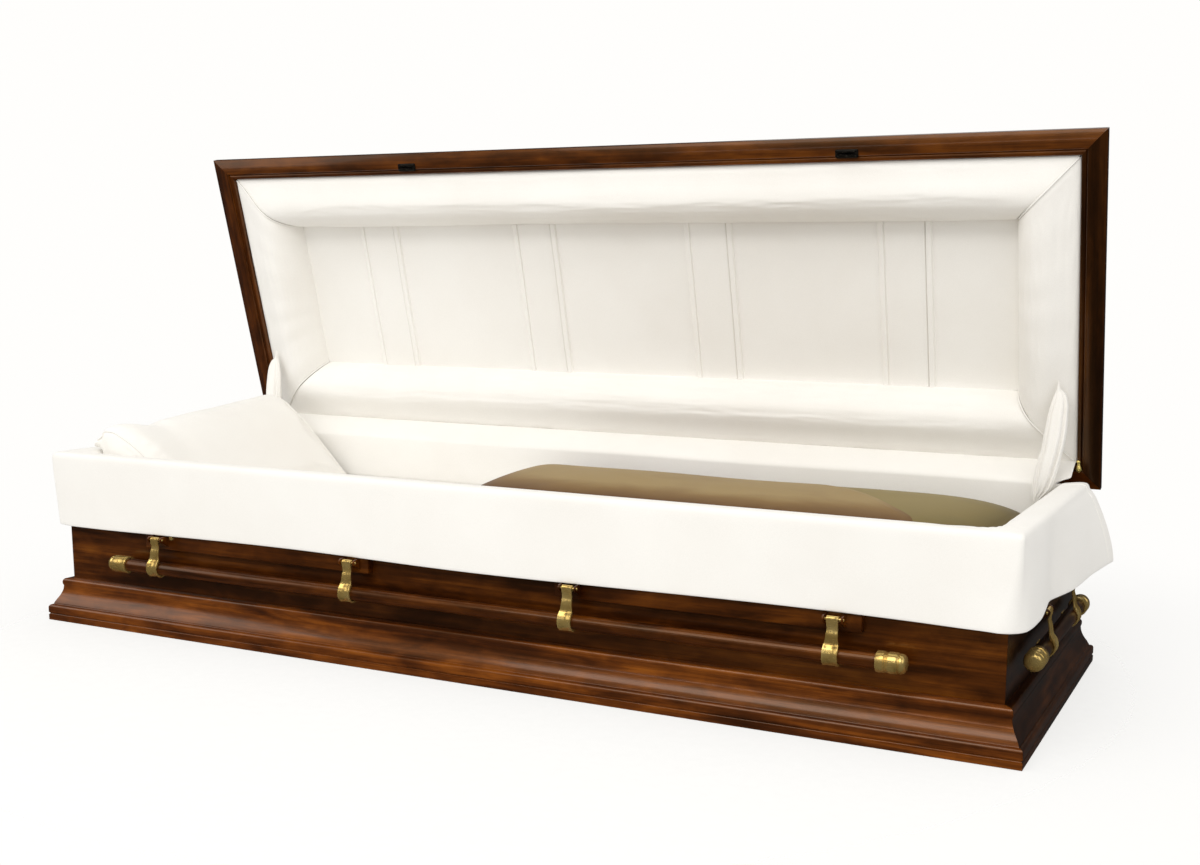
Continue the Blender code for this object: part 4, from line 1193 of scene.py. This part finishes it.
# Pillow: a boxed wedge leaning on the head end, its head edge lying over the rim.
PILLOW_Y = BED_Y - 0.0172
PILLOW_RIDGE_Y = (-0.272, -0.25, -0.24, -0.2, -0.17, -0.15, -0.13, -0.11, 0.0, 0.045, 0.15, 0.24,
                  0.272)
PILLOW_RIDGE = (0.416, 0.427, 0.43, 0.4285, 0.425, 0.424, 0.4275, 0.4325, 0.445, 0.449, 0.46, 0.466,
                0.458)
PILLOW_FACE = ((-0.727, 0.02), (-0.737, 0.075), (-0.759, 0.195), (-0.784, 0.33), (-0.82, 0.515),
               (-0.86, 0.715), (-0.9, 0.865), (-0.932, 0.958), (-0.954, 0.99), (-0.972, 0.98))
OVER_RIM = RIM_Z + 0.008


def pillow_section(y):
    """The pillow's section at y as (x, z), from its foot edge over face and ridge and back below."""
    ridge = float(np.interp(y, PILLOW_RIDGE_Y, PILLOW_RIDGE))
    rise = ridge - BED_Z - 0.0012
    face = curve([(x, BED_Z + 0.0012 + share * rise) for x, share in PILLOW_FACE], 4)
    top = OVER_RIM + 0.0015
    head = curve([(-0.972, BED_Z + 0.0012 + 0.98 * rise), (-0.982, ridge - 0.009), (-0.987, ridge - 0.02),
                  (-0.995, (ridge + top) / 2), (-1.007, top + 0.012), (-1.014, top + 0.004),
                  (-1.009, top)], 3)
    below = [(-0.9885, OVER_RIM + 0.0005), (-0.986, RIM_Z + 0.002), (-0.9845, RIM_Z - 0.012),
             (-0.979, 0.33), (-0.96, 0.304), (-0.93, 0.282), (-0.9, 0.268), (-0.87, BED_Z + 0.0014),
             (-0.82, BED_Z + 0.0012), (-0.77, BED_Z + 0.0012), (-0.73, BED_Z + 0.0016)]
    return np.array([tuple(p) for p in face] + [tuple(p) for p in head[1:]] + below)


def pillow():
    rows = []
    edge = ((0.0, 0.0095), (0.0012, 0.0058), (0.0042, 0.0024), (0.009, 0.0006))
    places = [(a - PILLOW_Y, b) for a, b in edge]
    places += [(y, 0.0) for y in np.linspace(-PILLOW_Y + 0.016, PILLOW_Y - 0.016, 52)]
    places += [(PILLOW_Y - a, b) for a, b in reversed(edge)]
    for y, inset in places:
        section = pillow_section(y)
        moved = inset_line(section, np.full(len(section), inset))
        rows.append([(x, y, z) for x, z in moved])
    for row in (rows[0], rows[-1]):
        line = np.array(row)
        middle = np.interp(line[:, 0], (-1.0, -0.95, -0.86, -0.73), (0.395, 0.365, 0.32, 0.268))
        spine = [(min(max(x, -0.99), -0.735), y, z) for (x, y, _), z in zip(row, middle)]
        if row is rows[0]:
            rows.insert(0, spine)
        else:
            rows.append(spine)
    return surface("pillow_cushion", rows, capped=False)


def pillow_room(start):
    """The bed below, the lining or the rim's cloth behind, and the body's walls bound the pillow."""
    x = np.where(start[:, 2] > OVER_RIM - 0.001, -1.015, -0.9896)
    z = np.where(start[:, 0] < -0.989, OVER_RIM - 0.001, BED_Z + 0.0006)
    low = np.stack([x, np.full(len(start), 0.003 - BED_Y), z], axis=1)
    return low, (-0.715, BED_Y - 0.003, 0.476)


def pillow_creases(obj):
    """Small creases from the head edge down the face, and the dent near the front corner."""
    place = points_of(obj.data)
    normals = np.array([v.normal for v in obj.data.vertices])
    x, y, z = place.T
    down = np.clip((z - 0.4) / 0.05, 0, 1) * (normals[:, 2] > -0.2)
    depth = np.zeros(len(place))
    for k in range(13):
        centre = -0.235 + 0.024 * k + 0.006 * sin(5.0 * k) + 0.2 * sin(2.3 * k) * (x + 0.95)
        reach = 0.55 + 0.45 * sin(3.1 * k + 0.5)
        strong = 0.0022 if k < 7 else 0.0012
        depth += strong * np.exp(-((y - centre) / 0.0055) ** 2) * np.clip(down - 1 + reach, 0, 1)
    depth += 0.005 * np.exp(-((y + 0.16) / 0.012) ** 2) * np.exp(-((x + 0.968) / 0.018) ** 2)
    place -= normals * depth[:, None]
    move_points(obj, place)


def pillow_seam(name, obj, sign):
    """Piped seam between the pillow's top and one side."""
    tree = bvhtree.BVHTree.FromObject(obj, bpy.context.evaluated_depsgraph_get())
    path = []
    for x, z in pillow_section(sign * (PILLOW_Y - 0.003))[2:46]:
        found = tree.find_nearest(Vector((x, sign * (PILLOW_Y + 0.004), z + 0.004)))
        path.append(tuple(found[0] + found[1] * 0.0009))
    return tube_along(name, curve(path[::3], 4), 0.0018, 8)


def pressed(obj):
    """Gives the piece a mesh of its own."""
    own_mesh(obj)


cushion = pillow()
filled(cushion, 0.006, 4.0, 0.007, room=pillow_room)
pillow_creases(cushion)
seams = [pillow_seam(f"pillow_seam_{label}", cushion, sign) for label, sign in (("front", -1), ("back", 1))]
dress(cushion, "casket_body", "pillow", "white", 0)
pressed(cushion)
for seam in seams:
    dress(seam, "casket_body", None, "white", 0)
    pressed(seam)


# Stay sleeves.
SLEEVE_LINE = curve([
    (0.95, 0.952, 0.2622, 0.325, 0.002), (0.9445, 0.961, 0.264, 0.337, 0.006),
    (0.942, 0.979, 0.2668, 0.356, 0.011), (0.9432, 0.985, 0.2692, 0.374, 0.014),
    (0.9475, 0.9915, 0.2745, 0.404, 0.016), (0.9545, 0.9965, 0.28, 0.434, 0.016),
    (0.958, 1.0005, 0.2855, 0.467, 0.015), (0.9618, 1.001, 0.291, 0.499, 0.013),
    (0.9665, 1.0000, 0.295, 0.523, 0.01), (0.9715, 0.994, 0.2985, 0.541, 0.007),
    (0.9755, 0.983, 0.3003, 0.551, 0.003), (0.9762, 0.9792, 0.3018, 0.56, 0.0012),
    (0.9766, 0.9772, 0.3022, 0.567, 0.0005),
], 7)
SLEEVE_FOLDS = ((-1.25, 1.0, 0.62, 0.17), (-2.05, -0.6, 0.46, 0.15), (-0.62, 1.0, 0.4, 0.14),
                (-2.75, 0.0, 0.3, 0.13), (1.2, 0.0, 0.2, 0.2), (2.2, 0.0, 0.2, 0.2))


def sleeve_fold(a, share):
    """How far the sleeve's cloth stands in or out, at an angle round it and a share of its height."""
    lean = 0.45 * sin(3.0 * share)
    full = 0.45 + 0.55 * sin(pi * min(1.0, share + 0.15))
    fold = 0.2 * cos(11 * a + 1.0) * exp(-share / 0.2) + 0.05 * cos(7 * a + 5 * share)
    for place, leaning, depth, spread in SLEEVE_FOLDS:
        gap = (a - place - leaning * lean + pi) % (2 * pi) - pi
        fold -= depth * exp(-(gap / spread) ** 2) * full
    return fold


def sleeve(name, sign):
    """Gathered cloth sleeve, leaf-shaped: drawn together at its foot, full in the middle, pointed above."""
    outer, inner = [], []
    for k, (near, far, y, z, deep) in enumerate(SLEEVE_LINE):
        x, wide = (near + far) / 2, (far - near) / 2
        for rows, less in ((outer, 0.0), (inner, 0.0009)):
            row = []
            for a in round_angles(96):
                fold = sleeve_fold(a, k / (len(SLEEVE_LINE) - 1))
                side = max(wide * (1 + 0.22 * fold * abs(sin(a))) - less, 0.2 * wide)
                depth = max(deep * (1 + fold) - less, 0.2 * deep)
                row.append((sign * (x + side * cos(a)), y + depth * sin(a), z))
            rows.append(row)
    return surface(name, outer + inner[::-1], capped=False, closed=True)


def sleeve_tip(sign):
    """The loose pointed end of the sleeve's cloth, folded to the front."""
    rows = []
    for k in range(13):
        share = k / 12
        x = 0.9812 - 0.002 * share - 0.0016 * sin(pi * share)
        y, z = 0.2935 + 0.006 * share, 0.536 + 0.0305 * share
        wide = 0.005 * (1 - share) ** 0.8 + 0.0003
        row = []
        for a in round_angles(14):
            bent = y + 0.0012 * sin(a) + 0.1 * wide * cos(2 * a)
            row.append((sign * (x + wide * cos(a)), bent, z))
        rows.append(row)
    return surface("sleeve_tip", rows)


for end, sign in ENDS.items():
    piece = joined(f"sleeve_{end}", [sleeve(f"sleeve_{end}_body", sign), sleeve_tip(sign)])
    dress(piece, None, f"stay_sleeve_{end}", "white", 0)
    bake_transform(piece)


# Taupe satin cover over the foot half of the bed.
THROW_X = (-0.152, BED_X - 0.019)
THROW_Y = (-BED_Y + 0.0252, BED_Y - 0.0152)
THROW_RIDGE = BED_Y - 0.1922
THROW_HEIGHT = 0.0873
THROW_RISE, THROW_FALL = 0.122, 0.256


def throw_height(x, y):
    """Height of the cover above its edge: a long dome with a steep head end and a falling foot end."""
    (x0, x1), (y0, y1) = THROW_X, THROW_Y
    half = (THROW_RIDGE - y0) if y < THROW_RIDGE else (y1 - THROW_RIDGE)
    across = max(0.0, 1 - (abs(y - THROW_RIDGE) / half) ** 2.3) ** 0.62
    along = 1.0
    if x < x0 + THROW_RISE:
        along = max(0.0, 1 - (min(1.0, (x0 + THROW_RISE - x) / THROW_RISE)) ** 4.2) ** 0.7
    elif x > x1 - THROW_FALL:
        along = max(0.0, 1 - (min(1.0, (x - x1 + THROW_FALL) / THROW_FALL)) ** 2.8) ** 0.37
    return THROW_HEIGHT * across * along


def satin_sheet(name, lines, rise, thick):
    """A thin closed sheet on the dome, through lines of (x, y) from the front edge to the back edge."""
    low = BED_Z + 0.0006
    rows = []
    for line in lines:
        top, under = [], []
        for x, y, lift in line:
            height = throw_height(x, y)
            edge = min(1.0, height / 0.03)
            soft = (0.0012 * sin(6.1 * x + 14 * y) + 0.0008 * sin(15 * x - 9 * y)) * edge
            z = low + 0.003 + height + soft + rise * lift
            top.append((x, y, z))
            under.append((x, y, max(low, z - thick)))
        rows.append(top + under[::-1])
    return surface(name, rows)


def fold_end(y):
    """Where the upper satin layer ends towards the foot: a quarter turn from its front corner back."""
    places = (-0.262, -0.2, -0.14, -0.084, -0.063, -0.027, 0.027, 0.072, 0.11, 0.15, 0.2, 0.272)
    ends = (0.836, 0.834, 0.822, 0.798, 0.781, 0.748, 0.703, 0.661, 0.615, 0.55, 0.44, 0.25)
    return float(np.interp(y, places, ends))


cover_lines = [[(x, y, 0.0) for x in crowded(170, *THROW_X, 0.93)] for y in crowded(64, *THROW_Y, 0.86)]
cover = satin_sheet("satin_cover", cover_lines, 0.0, 0.0028)
dress(cover, "casket_body", "foot_throw", "satin", 0)

fold_lines = []
for y in crowded(64, THROW_Y[0] + 0.0004, THROW_Y[1] - 0.0004, 0.86):
    places = crowded(150, THROW_X[0] + 0.0004, fold_end(y), 0.93)
    fold_lines.append([(x, y, min(1.0, 0.25 + 40 * (places[-1] - x))) for x in places])
fold = satin_sheet("satin_fold", fold_lines, 0.0026, 0.0022)
dress(fold, "casket_body", None, "satin_fold", 0)


# Floor, light and camera.
def floor():
    """Pale studio floor that fades into the pale surroundings."""
    size = 9.0
    rows = [[(x, y, -0.0004) for x in (-size, size)] for y in (-size, size)]
    obj = surface("studio_floor", rows, wrap=False, capped=False)
    m = Nodes("studio_floor")
    place = m.add("ShaderNodeTexCoord").outputs["Object"]
    away = m.add("ShaderNodeVectorMath", operation="LENGTH", Vector=place)
    fade = m.add("ShaderNodeMapRange", interpolation_type="SMOOTHSTEP", From_Min=0.9, From_Max=2.0,
                 To_Min=0.32, To_Max=0.0, Value=away.outputs["Value"])
    colour = m.ramp(m.noise(place, scale=40.0), (0.3, (0.9, 0.9, 0.89)), (0.7, (0.92, 0.92, 0.91)))
    m.put(Base_Color=colour, Alpha=fade.outputs["Result"], Roughness=0.9, Specular_IOR_Level=0.0)
    obj.data.materials.append(m.material)
    obj.visible_glossy = False


floor()

world = bpy.data.worlds.new("studio")
bpy.context.scene.world = world
world.use_nodes = True
WORLD_DIFFUSE, WORLD_GLOSS, WORLD_SEEN = 0.7, 0.05, 1.0


def set_world():
    """Even pale surroundings, dimmer in reflections so that polished wood keeps its depth."""
    tree = world.node_tree
    shade = tree.nodes["Background"]
    path = tree.nodes.new("ShaderNodeLightPath")
    gloss = tree.nodes.new("ShaderNodeMix")
    gloss.data_type = "FLOAT"
    gloss.inputs[2].default_value, gloss.inputs[3].default_value = WORLD_DIFFUSE, WORLD_GLOSS
    tree.links.new(path.outputs["Is Glossy Ray"], gloss.inputs[0])
    seen = tree.nodes.new("ShaderNodeMix")
    seen.data_type = "FLOAT"
    seen.inputs[3].default_value = WORLD_SEEN
    tree.links.new(path.outputs["Is Camera Ray"], seen.inputs[0])
    tree.links.new(gloss.outputs[0], seen.inputs[2])
    tree.links.new(seen.outputs[0], shade.inputs["Strength"])
    shade.inputs["Color"].default_value = (1.0, 0.992, 0.975, 1)


set_world()


def soft_box(name, place, target, size, power, colour=(1.0, 0.985, 0.955)):
    """A rectangular area light aimed at a point."""
    light = bpy.data.lights.new(name, "AREA")
    light.shape = "RECTANGLE"
    light.size, light.size_y = size
    light.energy = power
    light.color = colour
    obj = bpy.data.objects.new(name, light)
    bpy.context.scene.collection.objects.link(obj)
    obj.location = place
    obj.rotation_euler = (Vector(target) - Vector(place)).to_track_quat("-Z", "Y").to_euler()


soft_box("key_high", (0.1, -2.4, 4.1), (0.1, 0.0, 0.4), (3.6, 1.4), 42)
soft_box("front_soft", (0.2, -3.1, 2.9), (0.2, 0.0, 0.4), (5.0, 1.0), 48)
soft_box("strip_low", (0.6, -3.4, 1.35), (0.4, 0.0, 0.1), (4.6, 0.1), 5)
soft_box("fill_head_end", (-3.4, -1.9, 1.9), (-0.2, 0.0, 0.4), (1.8, 1.8), 16)
soft_box("fill_foot_end", (3.2, -1.2, 1.9), (0.5, 0.0, 0.4), (1.8, 1.8), 11)
soft_box("back_light", (0.4, 3.0, 2.6), (0.0, 0.2, 0.5), (3.0, 1.4), 9)

IMAGE_W = 1200.0
CAMERA_AT = (1.44135, -2.41814, 0.74327)
CAMERA_YAW, CAMERA_PITCH, CAMERA_ROLL = 0.43085, 0.1545, 0.01118
FOCAL_PIXELS = 1359.74
CENTRE_SHIFT = (92.263, 64.837)


def camera():
    """The photograph's camera: yaw to the left of +Y, pitch down, a slight roll and a shifted centre."""
    made = bpy.data.cameras.new("camera")
    obj = bpy.data.objects.new("camera", made)
    bpy.context.scene.collection.objects.link(obj)
    level = Vector((cos(CAMERA_YAW), sin(CAMERA_YAW), 0))
    ahead = Vector((-sin(CAMERA_YAW), cos(CAMERA_YAW), 0))
    forward = ahead * cos(CAMERA_PITCH) - Vector((0, 0, sin(CAMERA_PITCH)))
    upright = level.cross(forward)
    right = level * cos(CAMERA_ROLL) + upright * sin(CAMERA_ROLL)
    up = upright * cos(CAMERA_ROLL) - level * sin(CAMERA_ROLL)
    rotation = Matrix((right, up, -forward)).transposed()
    obj.matrix_world = Matrix.Translation(CAMERA_AT) @ rotation.to_4x4()
    made.sensor_width = 36.0
    made.lens = FOCAL_PIXELS / IMAGE_W * made.sensor_width
    made.shift_x, made.shift_y = -CENTRE_SHIFT[0] / IMAGE_W, CENTRE_SHIFT[1] / IMAGE_W
    made.clip_start = 0.01
    bpy.context.scene.camera = obj


camera()
bpy.context.scene.view_settings.view_transform = "Standard"
bpy.context.scene.view_settings.look = "None"
